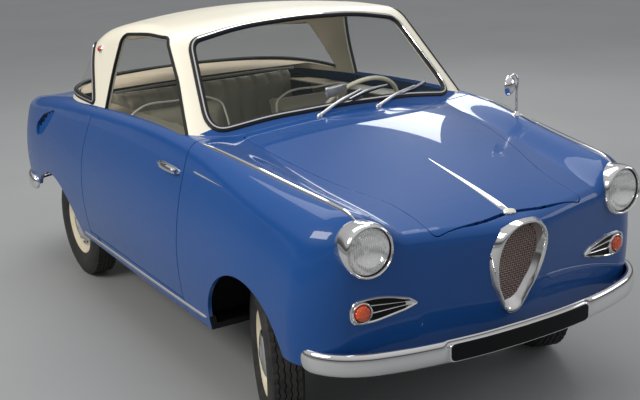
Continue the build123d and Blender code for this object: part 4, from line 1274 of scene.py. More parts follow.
def place_sides(
    left: Piece, finish: object, body: str = "body", over: Sequence[str] = (), exact: bool = True
) -> None:
    """Places the mirror image of a left piece, then the piece itself.

    Args:
        left: The left piece; its name, body and solids say left where they have a side.
        finish: Finish of both.
        body: Body of the frame that carries the left one.
        over: Solids that the left one stands for.
        exact: Whether the piece carries its own normals.
    """
    other = Workshop.mirrored(left, left.name.replace("left", "right"), exact)
    place_piece(other, finish, body.replace("left", "right"), [n.replace("left", "right") for n in over])
    place_piece(left, finish, body, over)


def flank_fan(y_from: float, y_to: float, low: float, high: float, x: float = 350.0, z: float = 560.0) -> Fan:
    """Rays outwards and upwards from a line along the left side.

    Args:
        y_from: Where the rays start along the car.
        y_to: Where they end.
        low: Lowest elevation in degrees.
        high: Highest elevation in degrees.
        x: Distance of the line from the middle.
        z: Height of the line.

    Returns:
        The fan.
    """

    def rays(u: Array, v: Array) -> Rays:
        """Origin and direction for each cell corner."""
        angle = np.radians(low + v * (high - low))
        y = y_from + u * (y_to - y_from)
        zero = np.zeros_like(u)
        return np.stack([zero + x, y, zero + z], 1), np.stack([np.cos(angle), zero, np.sin(angle)], 1)

    return rays


def corner_fan(y_start: float, y_turn: float, low: float, high: float, x: float, z: float,
               end_x: float) -> Fan:
    """Rays that go along the left side, round the corner and across an end.

    Args:
        y_start: Where the side starts.
        y_turn: Where the rays begin to turn.
        low: Lowest elevation in degrees.
        high: Highest elevation in degrees.
        x: Distance of the turning line from the middle.
        z: Height of the line the rays start on.
        end_x: Where the rays across the end stop.

    Returns:
        The fan.
    """
    way = 1.0 if y_turn > y_start else -1.0
    lengths = np.array([abs(y_turn - y_start), 560.0, abs(x - end_x)])
    stops = np.concatenate([[0], np.cumsum(lengths)]) / lengths.sum()

    def rays(u: Array, v: Array) -> Rays:
        """Origin and direction for each cell corner."""
        first, turn, last = (np.clip((u - a) / (b - a), 0, 1) for a, b in zip(stops, stops[1:]))
        heading = turn * math.pi / 2
        rise = np.radians(low + v * (high - low))
        origin = np.stack([x + last * (end_x - x), y_start + first * (y_turn - y_start), np.full_like(u, z)],
                          1)
        flat = np.cos(rise)
        return origin, np.stack([flat * np.cos(heading), way * flat * np.sin(heading), np.sin(rise)], 1)

    return rays


def deck_fan(x_half: float, y_from: float, y_turn: float, low: float, z: float = 560.0) -> Fan:
    """Rays straight up from a deck that turn over its outer end.

    Args:
        x_half: Half the width of the deck.
        y_from: Where the deck starts.
        y_turn: Where the rays begin to turn.
        low: Lowest elevation at the end in degrees.
        z: Height of the line the rays start on.

    Returns:
        The fan.
    """
    way = 1.0 if y_turn > y_from else -1.0
    level = abs(y_turn - y_from)
    share = level / (level + 260.0 * math.radians(90 - low))

    def rays(u: Array, v: Array) -> Rays:
        """Origin and direction for each cell corner."""
        run = np.clip(v / share, 0, 1)
        tilt = np.radians(np.clip((v - share) / (1 - share), 0, 1) * (90 - low))
        zero = np.zeros_like(u)
        origin = np.stack([(2 * u - 1) * x_half, y_from + run * (y_turn - y_from), zero + z], 1)
        return origin, np.stack([zero, way * np.sin(tilt), np.cos(tilt)], 1)

    return rays


def dome_fan(y_from: float, y_to: float, spread: float, tilt: Pair, z: float) -> Fan:
    """Rays that open like a dome from a line under the roof.

    Args:
        y_from: Where the rays start along the car.
        y_to: Where they end.
        spread: Widest angle to either side in degrees.
        tilt: First and last lean in degrees.
        z: Height of the line.

    Returns:
        The fan.
    """

    def rays(u: Array, v: Array) -> Rays:
        """Origin and direction for each cell corner."""
        a = np.radians((2 * u - 1) * spread)
        b = np.radians(tilt[0] + v * (tilt[1] - tilt[0]))
        y = y_from + smooth_step(0.25, 0.75, v) * (y_to - y_from)
        one = np.ones_like(u)
        return np.stack([0 * u, y, one * z], 1), np.stack([np.tan(a), np.tan(b), one], 1)

    return rays


@dataclass
class Lines:
    """Shut lines and openings shared by the panels, in millimetres."""

    gap: float = 2.0
    hood_gap: float = 0.8
    lid_front_gap: float = 7.0
    sill_z: float = 262.0
    belt_z: float = 800.0
    door_low: float = 316.0
    nose_low: float = 352.0
    tail_low: float = 372.0
    deck_low: float = 318.0
    lid_front: float = 1168.0
    lid_rear: float = 1430.0
    lid_round: float = 40.0
    front_arch: Point = (-920.0, 268.0, 262.0)
    rear_arch: Point = (945.0, 150.0, 330.0)
    lamp_hole: Point = (488.0, 711.0, 74.0)

    def __post_init__(self) -> None:
        """Draws the outlines."""
        self.body = BodyForm()
        self.cabin = CabinForm()
        self.door_front = Track([200, 312, 489, 625, 772, 860, 1100],
                                [-460, -462, -470, -485, -500, -507, -512])
        self.door_rear = Track([200, 312, 542, 663, 820, 900, 1100], [498, 498, 497, 485, 434, 418, 400])
        self.hood_side = Track([-1600, -1405, -1338, -1255, -998, -700, -500],
                               [284, 288, 286, 292, 368, 420, 432])
        self.hood_rear = Track([0, 130, 260, 398, 500], [-664, -654, -618, -535, -440])
        self.hood_front = Track([0, 90, 263, 320, 420], [737, 733, 719, 700, 650])
        self.windscreen = Outline(
            ((0, 931, 2000), (290, 921, 1500), (520, 889, 74), (484, 1030, 3000), (447, 1170, 58),
             (250, 1207, 1500),
             (0, 1217, 2000), (-250, 1207, 1500), (-447, 1170, 58), (-484, 1030, 3000), (-520, 889, 74),
             (-290, 921, 1500)), Lie.FRONT)
        self.side_window = Outline(
            ((-424, 882, 10), (-272, 1050, 900), (-132, 1186, 40), (60, 1180, 1500), (292, 1158, 60),
             (330, 1022, 900),
             (342, 868, 8), (342, 780, 5), (-424, 780, 5)))
        self.scoop = Outline(
            ((905, 778, 10), (1079, 730, 120), (1172, 672, 25), (1162, 622, 14), (1060, 644, 80),
             (958, 716, 80)))
        self.shield = Outline(
            ((-64, 712, 36), (64, 712, 36), (93, 640, 60), (88, 590, 300), (64, 500, 200), (24, 439, 16),
             (-24, 439, 16), (-64, 500, 200), (-88, 590, 300), (-93, 640, 60)), Lie.FRONT)
        half = self._round(478, 872), self._round(612, 1082)
        self.rear_window = Outline(
            ((half[0], 866, 24), (half[1], 1082, 34), (1700, 1072, 900), (2199, 1060, 3000),
             (2699, 1072, 900),
             (4398 - half[1], 1082, 34), (4398 - half[0], 866, 24), (2900, 868, 900), (2199, 868, 3000),
             (1500, 868, 900)), Lie.ROUND)

    def _round(self, y: float, z: float) -> float:
        """Place of a point of the left flank, at y and z, in the round outline's plane."""
        at = self.cabin.land(0, y, z, LEFT)[0]
        return math.atan2(at[0], ROUND_CENTRE_Y - at[1]) * ROUND_SCALE

    def ahead_of_door(self, p: Array) -> Array:
        """Positive behind the door's front shut line."""
        return p[:, 1] - self.door_front(p[:, 2]) + self.gap

    def behind_door(self, p: Array) -> Array:
        """Positive ahead of the door's rear shut line."""
        return self.door_rear(p[:, 2]) - p[:, 1] + self.gap

    def hood(self, p: Array) -> Array:
        """Signed distance from the hood's outline, negative inside.

        Args:
            p: Places in millimetres.

        Returns:
            One distance for each place.
        """
        x = np.abs(p[:, 0])
        side = x - self.hood_side(p[:, 1])
        rear = p[:, 1] - self.hood_rear(x)
        front = self.hood_front(x) - p[:, 2]
        return round_meet(round_meet(side, rear, 40.0), front, 24.0)

    def arch(self, p: Array, which: Point) -> Array:
        """Positive inside a wheel arch."""
        return np.where(
            np.abs(p[:, 0]) > 300, which[2] - np.hypot(p[:, 1] - which[0], p[:, 2] - which[1]), -100.0
        )

    def lamp(self, p: Array) -> Array:
        """Positive inside the openings for the headlamps."""
        away = np.hypot(np.abs(p[:, 0]) - self.lamp_hole[0], p[:, 2] - self.lamp_hole[1])
        return np.where(p[:, 1] < -1150, self.lamp_hole[2] - away, -100.0)

    def lid(self, p: Array) -> Array:
        """Signed distance from the engine lid's outline, negative inside.

        Args:
            p: Places in millimetres.

        Returns:
            One distance for each place.
        """
        x = np.abs(p[:, 0])
        side = x - 372 + (p[:, 1] - self.lid_front) * 0.076
        front = round_meet(side, self.lid_front - p[:, 1], self.lid_round)
        return round_meet(front, p[:, 1] - self.lid_rear, self.lid_round)


@dataclass
class Shell:
    """Painted body panels."""

    lines: Lines
    seam_x: float = 345.0
    foot_x: float = 546.0
    seam_z: float = 500.0
    cowl_x: float = 470.0
    cowl_y: float = -720.0
    deck_x: float = 430.0
    deck_y: float = 1000.0

    def seam(self, p: Array) -> Array:
        """Positive inside the nose panel's share of the front."""
        edge = self.seam_x + (self.foot_x - self.seam_x) * smooth_step(self.seam_z + 8, self.seam_z - 8,
                                                                       p[:, 2])
        return np.minimum(edge - np.abs(p[:, 0]), -1200 - p[:, 1])

    def cowl_share(self, p: Array) -> Array:
        """Positive inside the cowl's share of the top."""
        return np.minimum(self.cowl_x - np.abs(p[:, 0]), p[:, 1] - self.cowl_y)

    def deck_share(self, p: Array) -> Array:
        """Positive inside the rear deck's share."""
        return np.minimum(self.deck_x - np.abs(p[:, 0]), p[:, 1] - self.deck_y)

    def apron_top(self, p: Array) -> Array:
        """Positive above the painted foot of the windscreen."""
        x = np.abs(p[:, 0])
        return p[:, 2] - np.interp(x, (0, 400, 490, 560, 600), (960, 940, 906, 888, 884))

    def under_cabin(self, p: Array) -> Array:
        """Positive well inside the cabin top, above the belt."""
        return np.where(p[:, 2] > self.lines.belt_z, -self.lines.cabin.value(p) - 14, -100.0)

    def build(self) -> None:
        """Makes all painted panels."""
        k = self.lines
        body = k.body
        hood_hole = Cut(lambda p: -k.hood(p) + k.hood_gap)
        cabin = Cut(self.under_cabin, False)
        fender = Skin(
            "fender_left_skin", body, corner_fan(-420, -1190, -58, 80, 240, 520, 235), (150, 96),
            (
                cabin,
                Cut(k.ahead_of_door),
                Cut(lambda p: np.where(p[:, 1] < -1140, k.nose_low, k.sill_z) - p[:, 2]),
                Cut(lambda p: k.arch(p, k.front_arch)),
                Cut(k.lamp),
                hood_hole,
                Cut(self.seam, False),
                Cut(self.cowl_share, False),
            ),
            edge=1.4,
        ).build()
        self._pair(fender, "fender_left", "fender_right", "body")
        nose = Skin(
            "nose_skin", body, self._nose_fan(), (112, 70),
            (
                Cut(lambda p: k.nose_low - p[:, 2]),
                Cut(k.lamp),
                hood_hole,
                Cut(lambda p: np.where(p[:, 1] < -1300, -k.shield.distance(p), -99.0)),
                Cut(lambda p: -self.seam(p), False),
            ),
            edge=1.4,
        ).build()
        place_piece(nose, BLUE, "body", ["nose_panel"])
        cowl = Skin(
            "cowl_skin", body, deck_fan(480, -405, -721, 89.9), (90, 34),
            (hood_hole, cabin, Cut(lambda p: -self.cowl_share(p), False)), edge=1.4,
        ).build()
        place_piece(cowl, BLUE, "body", ["cowl"])
        apron = Skin(
            "cowl_apron", Inset(k.cabin, -0.8), dome_fan(-60, -60, 70, (-86, -50), 690), (110, 40),
            (
                Cut(self.apron_top, False),
                Cut(lambda p: -k.windscreen.distance(p) + 2, False),
                Cut(lambda p: -k.body.value(p) - 6, False),
            ),
            depth=2.0, edge=0.6, cell=8.0,
        ).build()
        place_piece(apron, BLUE)
        hood = Skin(
            "hood_skin", body, deck_fan(436, -440, -1400, 20), (84, 110),
            (Cut(lambda p: k.hood(p) + k.hood_gap),), closed=True, edge=1.4,
        ).build()
        place_piece(hood, BLUE, "hood", ["hood"])
        door = Skin(
            "door_left_skin", body, flank_fan(-530, 520, -58, 82), (100, 84),
            (
                Cut(lambda p: k.door_front(p[:, 2]) - p[:, 1] + k.gap),
                Cut(lambda p: p[:, 1] - k.door_rear(p[:, 2]) + k.gap),
                Cut(lambda p: k.door_low - p[:, 2] + k.gap),
                Cut(lambda p: np.where(p[:, 2] > k.belt_z, -k.cabin.value(p) - 2, -100.0)),
            ),
        ).build()
        self._pair(door, "door_left", "door_right")
        quarter = Skin(
            "quarter_left_skin", body, corner_fan(405, 1300, -58, 82, 250, 500, 245), (150, 96),
            (
                cabin,
                Cut(k.behind_door),
                Cut(lambda p: np.where(
                    p[:, 1] > 1060, k.tail_low + 0.04 * (p[:, 1] - 1100), k.sill_z) - p[:, 2]),
                Cut(lambda p: k.arch(p, k.rear_arch)),
                Cut(lambda p: -k.scoop.distance(p)),
                Cut(self.deck_share, False),
            ),
        ).build()
        self._pair(quarter, "quarter_left", "quarter_right", "body")
        deck = Skin(
            "rear_deck_skin", body, deck_fan(440, 990, 1380, -62, 520), (80, 96),
            (
                Cut(lambda p: -k.lid(p) + k.hood_gap),
                cabin,
                Cut(lambda p: k.deck_low - p[:, 2]),
                Cut(lambda p: -self.deck_share(p), False),
            ),
            edge=1.4, depth=4.0,
        ).build()
        place_piece(deck, BLUE, "body", ["rear_deck"])
        lid = Skin(
            "engine_lid_skin", body, deck_fan(380, 1160, 1450, 70, 520), (70, 40),
            (Cut(lambda p: k.lid(p) + k.hood_gap), Cut(lambda p: k.lid_front + k.lid_front_gap - p[:, 1])),
            closed=True,
            edge=1.4, depth=3.0,
        ).build()
        place_piece(lid, BLUE, "engine_lid", ["engine_lid"])
        sill = Skin(
            "sill_left_skin", body, flank_fan(-520, 660, -52, -30), (100, 12),
            (
                Cut(lambda p: k.sill_z + 0.5 - p[:, 2]),
                Cut(lambda p: p[:, 2] - k.door_low + k.gap),
                Cut(lambda p: k.door_front(p[:, 2]) - p[:, 1], False),
                Cut(lambda p: p[:, 1] - k.door_rear(p[:, 2]), False),
            ),
            depth=6.0,
        ).build()
        place_sides(sill, BLUE)
        self._roof()

    def _pair(self, left: Piece, node: str, other: str, body: str = "") -> None:
        """Places a left panel and its mirror image.

        Args:
            left: The left panel.
            node: Solid of the left side.
            other: Solid of the right side.
            body: Body of both, or nothing where each rides the body of its name.
        """
        right = Workshop.mirrored(left, other + "_skin", True)
        place_piece(left, BLUE, body or node, [node])
        place_piece(right, BLUE, body or other, [other])

    def _nose_fan(self) -> Fan:
        """Rays forwards from a line behind the nose."""

        def rays(u: Array, v: Array) -> Rays:
            """Origin and direction for each cell corner."""
            rise = np.radians(-56 + v * 158)
            zero = np.zeros_like(u)
            return (
                np.stack([(2 * u - 1) * 556, zero - 1235, zero + 520], 1),
                np.stack([zero, -np.cos(rise), np.sin(rise)], 1),
            )

        return rays

    def _roof(self) -> None:
        """Makes the roof with its pillars."""
        k = self.lines
        roof = Skin(
            "roof_skin", k.cabin, dome_fan(-60, 470, 79, (-80, 76), 690), (160, 190),
            (
                Cut(lambda p: np.where(p[:, 1] < 0, -k.windscreen.distance(p), -99.0)),
                Cut(lambda p: -k.side_window.distance(p)),
                Cut(lambda p: -k.rear_window.distance(p)),
                Cut(lambda p: -k.body.value(p) - 3, False),
            ),
            closed=True, cell=9.0,
        ).build()
        place_piece(roof, CREAM, "body", ["roof"])


@dataclass
class Glazing:
    """Window glass and its rubber seals with bright strips."""

    lines: Lines
    glass_in: float = 7.0

    def build(self) -> None:
        """Makes all panes and seals."""
        k = self.lines
        inner = CabinForm(inset=self.glass_in)
        wide = [(-14, -3), (-12, 4), (-7, 7.5), (7, 7.5), (12, 4), (14, -6), (0, -8)]
        slim = [(-6, -3), (-5, 3.2), (-2, 5), (2, 5), (5.5, 2.5), (6, -6), (0, -8)]
        strip = [(-3.4, 6.8), (-2.4, 9.4), (2.4, 9.4), (3.4, 6.8)]
        screen = Skin(
            "windscreen_pane", inner, dome_fan(-60, -60, 66, (-66, -10), 690), (80, 60),
            (Cut(lambda p: k.windscreen.distance(p) - 3, False),), cell=12.0,
        ).build()
        place_piece(screen, CLEAR, "body", ["windscreen"])
        rear = Skin(
            "rear_pane", inner, self._rear_fan(), (130, 30),
            (Cut(lambda p: k.rear_window.distance(p) - 3, False),), cell=12.0,
        ).build()
        place_piece(rear, CLEAR, "body", ["rear_window"])
        pane = Skin(
            "door_pane_left", inner, flank_fan(-470, 390, -10, 60, 300, 800), (80, 50),
            (Cut(lambda p: k.side_window.distance(p) - 3, False), Cut(lambda p: 835 - p[:, 2], False)),
            cell=12.0,
        ).build()
        place_sides(pane, CLEAR, "door_left", ["door_glass_left"])
        for name, outline, sides in (
            ("windscreen", k.windscreen, (1,)), ("rear_window", k.rear_window, (1,)),
            ("side_window", k.side_window, (1, -1)),
        ):
            for side in sides:
                path = outline.on_form(k.cabin, side)
                up = k.cabin.normal(path)
                tag = {1: "left", -1: "right"}[side] if len(sides) == 2 else "all"
                seal = slim if name == "side_window" else wide
                place_piece(Workshop.sweep(f"{name}_seal_{tag}", path, up, seal), RUBBER)
                if name != "side_window":
                    place_piece(Workshop.sweep(f"{name}_strip_{tag}", path, up, strip), CHROME)

    def _rear_fan(self) -> Fan:
        """Rays round the back of the cabin."""

        def rays(u: Array, v: Array) -> Rays:
            """Origin and direction for each cell corner."""
            angle = math.radians(112) + u * math.radians(136)
            z = 860 + v * 245
            zero = np.zeros_like(u)
            return (
                np.stack([zero, zero + ROUND_CENTRE_Y, z], 1),
                np.stack([np.sin(angle), -np.cos(angle), zero], 1),
            )

        return rays


def front_fan(x_from: float, x_to: float, z_from: float, z_to: float) -> Fan:
    """Rays straight forwards through a field of the nose.

    Args:
        x_from: Inner side.
        x_to: Outer side.
        z_from: Lower edge.
        z_to: Upper edge.

    Returns:
        The fan.
    """

    def rays(u: Array, v: Array) -> Rays:
        """Origin and direction for each cell corner."""
        zero = np.zeros_like(u)
        x, z = x_from + u * (x_to - x_from), z_from + v * (z_to - z_from)
        return np.stack([x, zero - 600, z], 1), np.stack([zero, zero - 1, zero], 1)

    return rays


@dataclass
class Headlamps:
    """Deep bright rims with fluted lenses over polished bowls."""

    centre: Point = (490.0, -1402.0, 711.0)
    rim: tuple[Pair, ...] = (
        (-124, 78), (-90, 80), (-60, 81.4), (-36, 82.4), (-18, 82.6), (-7, 81), (-1, 78.6), (2.6, 76),
        (3.8, 73.6),
        (2.6, 71.8), (-2, 71), (-8, 70.4), (-14, 70), (-14, 73), (-30, 76), (-124, 74), (-124, 78),
    )
    lens: tuple[Pair, ...] = ((-9, 69), (-5, 66), (-0.5, 57), (3, 45), (5.5, 30), (7, 14), (7.4, 0))
    bowl: tuple[Pair, ...] = ((-12, 69.5), (-20, 66), (-34, 56), (-46, 42), (-54, 24), (-57, 8), (-57, 0))
    bulb: tuple[Pair, ...] = ((-57, 9), (-40, 11), (-30, 13), (-22, 10), (-20, 0))

    def build(self) -> None:
        """Makes both lamps."""
        at, way = Vector(self.centre) * MM, Vector((0.05, -1.0, 0.03))
        rim = Workshop.lathe("rim", self.rim, at, way, 96, 50)
        place_piece(Workshop.both("headlamp_rim_skin", rim), CHROME, "body", ["headlamp_rims"])
        bowl = Workshop.joined(
            "bowl",
            [Workshop.lathe("bowl_a", self.bowl, at, way, 64), Workshop.lathe("bulb", self.bulb, at, way, 24)]
        )
        place_piece(Workshop.both("headlamp_bowls", bowl), BOWL)
        ring = Workshop.lathe("ring", ((-9, 70.9), (-5, 70.9), (-4.6, 69.6), (-6, 69), (-9, 69), (-9, 70.9)),
                              at, way, 72)
        place_piece(Workshop.both("headlamp_seals", ring), RUBBER)
        lens = Workshop.lathe("lens", self.lens, at, way, 72)
        place_piece(Workshop.both("headlamp_glasses", lens), HEADLAMP_GLASS, "body", ["headlamp_lenses"])


@dataclass
class Indicators:
    """Pointed bright bezels with dark slots and an amber lens at the outer end."""

    lines: Lines
    lens: Pair = (499.0, 519.0)

    def build(self) -> None:
        """Makes both indicators."""
        body = self.lines.body
        shape = Outline(
            ((328, 523, 2), (352, 541, 24), (440, 563, 300), (534, 557, 40), (534, 484, 36), (452, 488, 200),
             (362, 509, 80)), Lie.FRONT, 5.0)
        path = shape.on_form(body)
        up = body.normal(path)
        frame_ring = Workshop.sweep(
            "frame_ring", path, up, [(-4.2, -5), (-4.2, 5), (-2.4, 9), (0.6, 10), (3.2, 7.5), (4.2, -5)]
        )
        bars = [self._bar(body, ends) for ends in (((474, 538), (356, 529)), ((474, 512), (356, 520)))]
        cap = self._bar(body, ((364, 525), (332, 524)), 9.0)
        at = Vector(body.land(self.lens[0], 0, self.lens[1], AHEAD)[0]) * MM
        bezel = Workshop.lathe(
            "bezel",
            ((-14, 35), (6, 34.6), (11, 32.6), (12.5, 30), (11.5, 27.6), (5, 26.6), (-14, 26.6), (-14, 35)),
            at, Vector((0.12, -1, 0)), 56, 50,
        )
        trims = Workshop.joined("trims", [frame_ring, *bars, cap, bezel])
        place_piece(Workshop.both("indicator_bezels", trims), CHROME, "body", ["indicator_trims"])
        back = Skin(
            "indicator_back", Inset(body, -1.2), front_fan(298, 552, 474, 580), (52, 24),
            (Cut(shape.distance, False),), edge=0.2, depth=0.6, cell=5.0,
        ).build()
        place_piece(Workshop.mirrored(back, "indicator_back_right"), PLATE)
        place_piece(back, PLATE)
        lens = Workshop.lathe(
            "lens", ((2, 26.4), (9, 26), (15, 23.4), (20, 17.6), (23, 10), (24, 0)), at,
            Vector((0.12, -1, 0)), 10, 14
        )
        place_piece(Workshop.both("indicator_glasses", lens), AMBER, "body", ["indicator_lenses"])

    def _bar(self, body: BodyForm, ends: tuple[Pair, Pair], width: float = 2.6) -> Piece:
        """Bright bar on the nose between two points.

        Args:
            body: Form that carries the bar.
            ends: Both ends, across and up.
            width: Half its width.

        Returns:
            The bar.
        """
        x, z = (np.linspace(a, b, 16) for a, b in zip(*ends))
        path = body.land(x, 0, z, AHEAD)
        section = [(-width, -2), (-width * 0.7, 4), (0, 6), (width * 0.7, 4), (width, -2)]
        return Workshop.sweep("bar", path, body.normal(path), section, False, lambda t: 1.0 - 0.35 * t)


@dataclass
class Grille:
    """Shield-shaped bright frame round a woven wire mesh."""

    foot: Pair = (-1426.0, 439.0)
    lean: float = 12.0
    half: tuple[Pair, ...] = (
        (0, 300), (34, 295), (64, 275), (84, 243), (92, 205), (91, 165), (83, 125), (71, 86), (55, 52),
        (40, 20), (27, -3), (15, -12), (0, -14),
    )
    centre: float = 160.0
    flare: Pair = (1.195, 1.0)
    section: tuple[Pair, ...] = (
        (-1.0, -36), (-0.92, -17), (-0.65, -2), (-0.28, 10), (-0.03, 14.5), (0.12, 15.5), (0.26, 13.5),
        (0.42, 7),
        (0.62, -3), (0.84, -13), (1.0, -20), (1.0, -36),
    )
    inner: float = 0.81
    sunk: float = -19.0
    shallow: tuple[Pair, Pair] = ((205.0, -44.0), (300.0, -8.0))
    pitch: float = 8.4
    wire: float = 1.7
    wave: float = 1.3
    points: int = 60

    def _point(self, x: Array, s: Array, w: Array) -> Array:
        """Places on the leaning plane: across, up the slope and out of it.

        Args:
            x: Distance across.
            s: Distance up the slope.
            w: Distance out of it.

        Returns:
            Places in millimetres.
        """
        a = math.radians(self.lean)
        y = self.foot[0] - s * math.sin(a) - w * math.cos(a)
        z = self.foot[1] + s * math.cos(a) - w * math.sin(a)
        return np.stack([x, y, z], -1)

    def build(self) -> None:
        """Makes the frame, the mesh and a dark sheet behind it that paints the shade in the opening."""
        half = Workshop.curve(self.half, self.points)
        loop = np.concatenate([half, half[-2::-1] * [-1, 1]])
        mid = np.array([0.0, self.centre])
        small = mid + (loop - mid) * self.inner
        skirt = mid + (loop - mid) * self.flare
        share = np.array([a for a, _ in self.section])[None, :, None]
        flat = loop[:, None] + (small - loop)[:, None] * np.maximum(share, 0)
        flat = flat + (skirt - loop)[:, None] * np.maximum(-share, 0)
        w = np.tile(np.array([b for _, b in self.section]), (len(loop), 1))
        w = np.maximum(w, np.interp(flat[..., 1], *zip(*self.shallow)))
        rows = self._point(flat[..., 0], flat[..., 1], w)
        rim = Workshop.weave("grille_rim", rows, 50)
        place_piece(rim, CHROME, "body", ["grille_frame"])
        self._mesh(small)
        # dark sheet behind the mesh: painted shade of the hollow behind the grille
        back = mid + (loop - mid)[:, None] * np.linspace(0, 0.9, 8)[None, :, None]
        depth = np.full(back.shape[:2], self.sunk - 12.0)
        sheet = Workshop.weave("grille_painted_shade_sheet", self._point(back[..., 0], back[..., 1], depth))
        place_piece(sheet, SHADOW)

    def _mesh(self, edge: Array) -> None:
        """Weaves the wires inside an edge.

        Args:
            edge: Edge of the opening, on the leaning plane.
        """
        bm = bmesh.new()
        order = np.argsort(edge[: self.points, 1])
        low, high = edge[:, 1].min() + 1, edge[:, 1].max() - 1
        step = self.pitch / 2
        for k, s in enumerate(np.arange(low + 2, high, self.pitch)):
            reach = np.interp(s, edge[order, 1], np.abs(edge[order, 0])) + 2
            x = np.arange(-math.ceil(reach / step), math.ceil(reach / step) + 1) * step
            x = np.clip(x, -reach, reach)
            w = self.sunk + self.wave * np.cos(x / self.pitch * math.pi + (k % 2) * math.pi)
            self._strand(bm, x, np.full_like(x, s), w, np.array([0.0, 1.0]))
        widest = np.abs(edge[:, 0]).max()
        half = edge[: self.points]
        top, low_half = half[: half[:, 0].argmax() + 1], half[half[:, 0].argmax():]
        for k, x in enumerate(np.arange(-math.floor(widest / self.pitch), widest / self.pitch) * self.pitch):
            up = np.interp(abs(x), top[:, 0], top[:, 1]) + 1
            down = np.interp(abs(x), low_half[::-1, 0], low_half[::-1, 1]) - 1
            s = np.arange(down, up, step)
            phase = (s - low - 2) / self.pitch * math.pi + (round(x / self.pitch) % 2) * math.pi
            w = self.sunk - self.wave * np.cos(phase)
            if len(s) > 2:
                self._strand(bm, np.full_like(s, x), s, w, np.array([1.0, 0.0]))
        place_piece(Workshop.finish(bm, "grille_weave"), WIRE, "body", ["grille_mesh"])

    def _strand(self, bm: bmesh.types.BMesh, x: Array, s: Array, w: Array,
                side: Array) -> None:
        """One wire with four sides.

        Args:
            bm: Mesh that takes the wire.
            x: Distances across.
            s: Distances up the slope.
            w: Distances out of the plane.
            side: Direction across the wire, in the plane.
        """
        turn = np.radians([0, 90, 180, 270, 360])
        across, out = np.cos(turn) * self.wire, np.sin(turn) * self.wire
        Workshop.weave_into(
            bm, self._point(x[:, None] + across * side[0], s[:, None] + across * side[1], w[:, None] + out)
        )


@dataclass
class Bumper:
    """Wrap-round bright bumper with a rounded section."""

    name: str
    node: str
    plan: tuple[Pair, ...]
    way: float
    plate_half: float = 0.0
    middle_z: float = 373.0
    tall: float = 0.88
    section: tuple[Pair, ...] = (
        (-12, 40), (-4, 43.5), (4, 43), (10, 38), (14, 28), (16, 14), (16, -4), (14, -20), (10, -31),
        (3, -38),
        (-5, -40), (-12, -37), (-12, -34), (-5, -36.5), (2, -34), (8, -28), (11, -18), (13, -4), (13, 13),
        (11, 26),
        (7, 35), (2, 39.5), (-4, 40), (-12, 37),
    )

    def _path(self) -> Rays:
        """Plan path from the right end to the left, and its outward direction."""
        left = Workshop.curve(self.plan, 80)
        path = np.concatenate([left[:0:-1] * [-1, 1], left])
        along = np.gradient(path, axis=0)
        along /= np.linalg.norm(along, axis=1, keepdims=True)
        return path, np.stack([along[:, 1], -along[:, 0]], 1) * -self.way

    def _rows(self, path: Array, out: Array, o: Array, z: Array) -> Array:
        """Places off the path by o, at height z."""
        flat = path[:, None] + out[:, None] * o[..., None]
        return np.concatenate([flat, (self.middle_z + z)[..., None]], -1)

    def build(self) -> None:
        """Makes the bumper, with its plate where it has one."""
        path, out = self._path()
        ring = np.array(list(self.section) + [self.section[0]])
        run = np.concatenate([[0], np.cumsum(np.linalg.norm(np.diff(path, axis=0), axis=1))])
        end = np.clip(np.minimum(run, run[-1] - run) / 42, 0.0, 1.0)
        size = np.sqrt(np.clip(1 - (1 - end) ** 2, 0.0025, 1))[:, None]
        flat = np.ones((len(path), 1))
        if self.plate_half:
            flat = 0.35 + 0.65 * smooth_step(self.plate_half, self.plate_half + 14, np.abs(path[:, :1]))
        o = (ring[None, :, 0] + 12) * size * flat - 12 * flat
        rows = self._rows(path, out, o, ring[None, :, 1] * self.tall * size)
        place_piece(Workshop.weave(self.name, rows, 60, True), CHROME, "body", [self.node])
        if self.plate_half:
            self._plate(path, out)

    def _plate(self, path: Array, out: Array) -> None:
        """Adds the carrier and the blank plate.

        Args:
            path: Plan path of the bumper.
            out: Its outward direction.
        """
        for name, half, high, low, face, finish in (
            ("plate_carrier", self.plate_half, 31.0, -30.0, 15.0, CHROME),
            ("front_plate", self.plate_half - 5, 28.0, -27.0, 17.0, PLATE),
        ):
            x = half * np.sin(np.linspace(-math.pi / 2, math.pi / 2, 80))
            at = np.stack([x, np.interp(x, path[:, 0], path[:, 1])], 1)
            away = np.stack([np.interp(x, path[:, 0], out[:, 0]), np.interp(x, path[:, 0], out[:, 1])], 1)
            cut = np.sqrt(np.clip(1 - (1 - np.clip((half - np.abs(x)) / 16, 0.0, 1.0)) ** 2, 0, 1))[:, None]
            ring = np.array([(-4, high - 3), (face - 2, high), (face, high - 2), (face, low + 2),
                             (face - 2, low),
                             (-4, low + 3), (-4, high - 3)])
            middle = (low + high) / 2
            z = middle + (ring[None, :, 1] - middle) * (0.55 + 0.45 * cut)
            rows = self._rows(at, away, np.tile(ring[:, 0], (80, 1)), z)
            over = ["number_plates"] if name == "front_plate" else []
            place_piece(Workshop.weave(name, rows, 40, True), finish, "body", over)


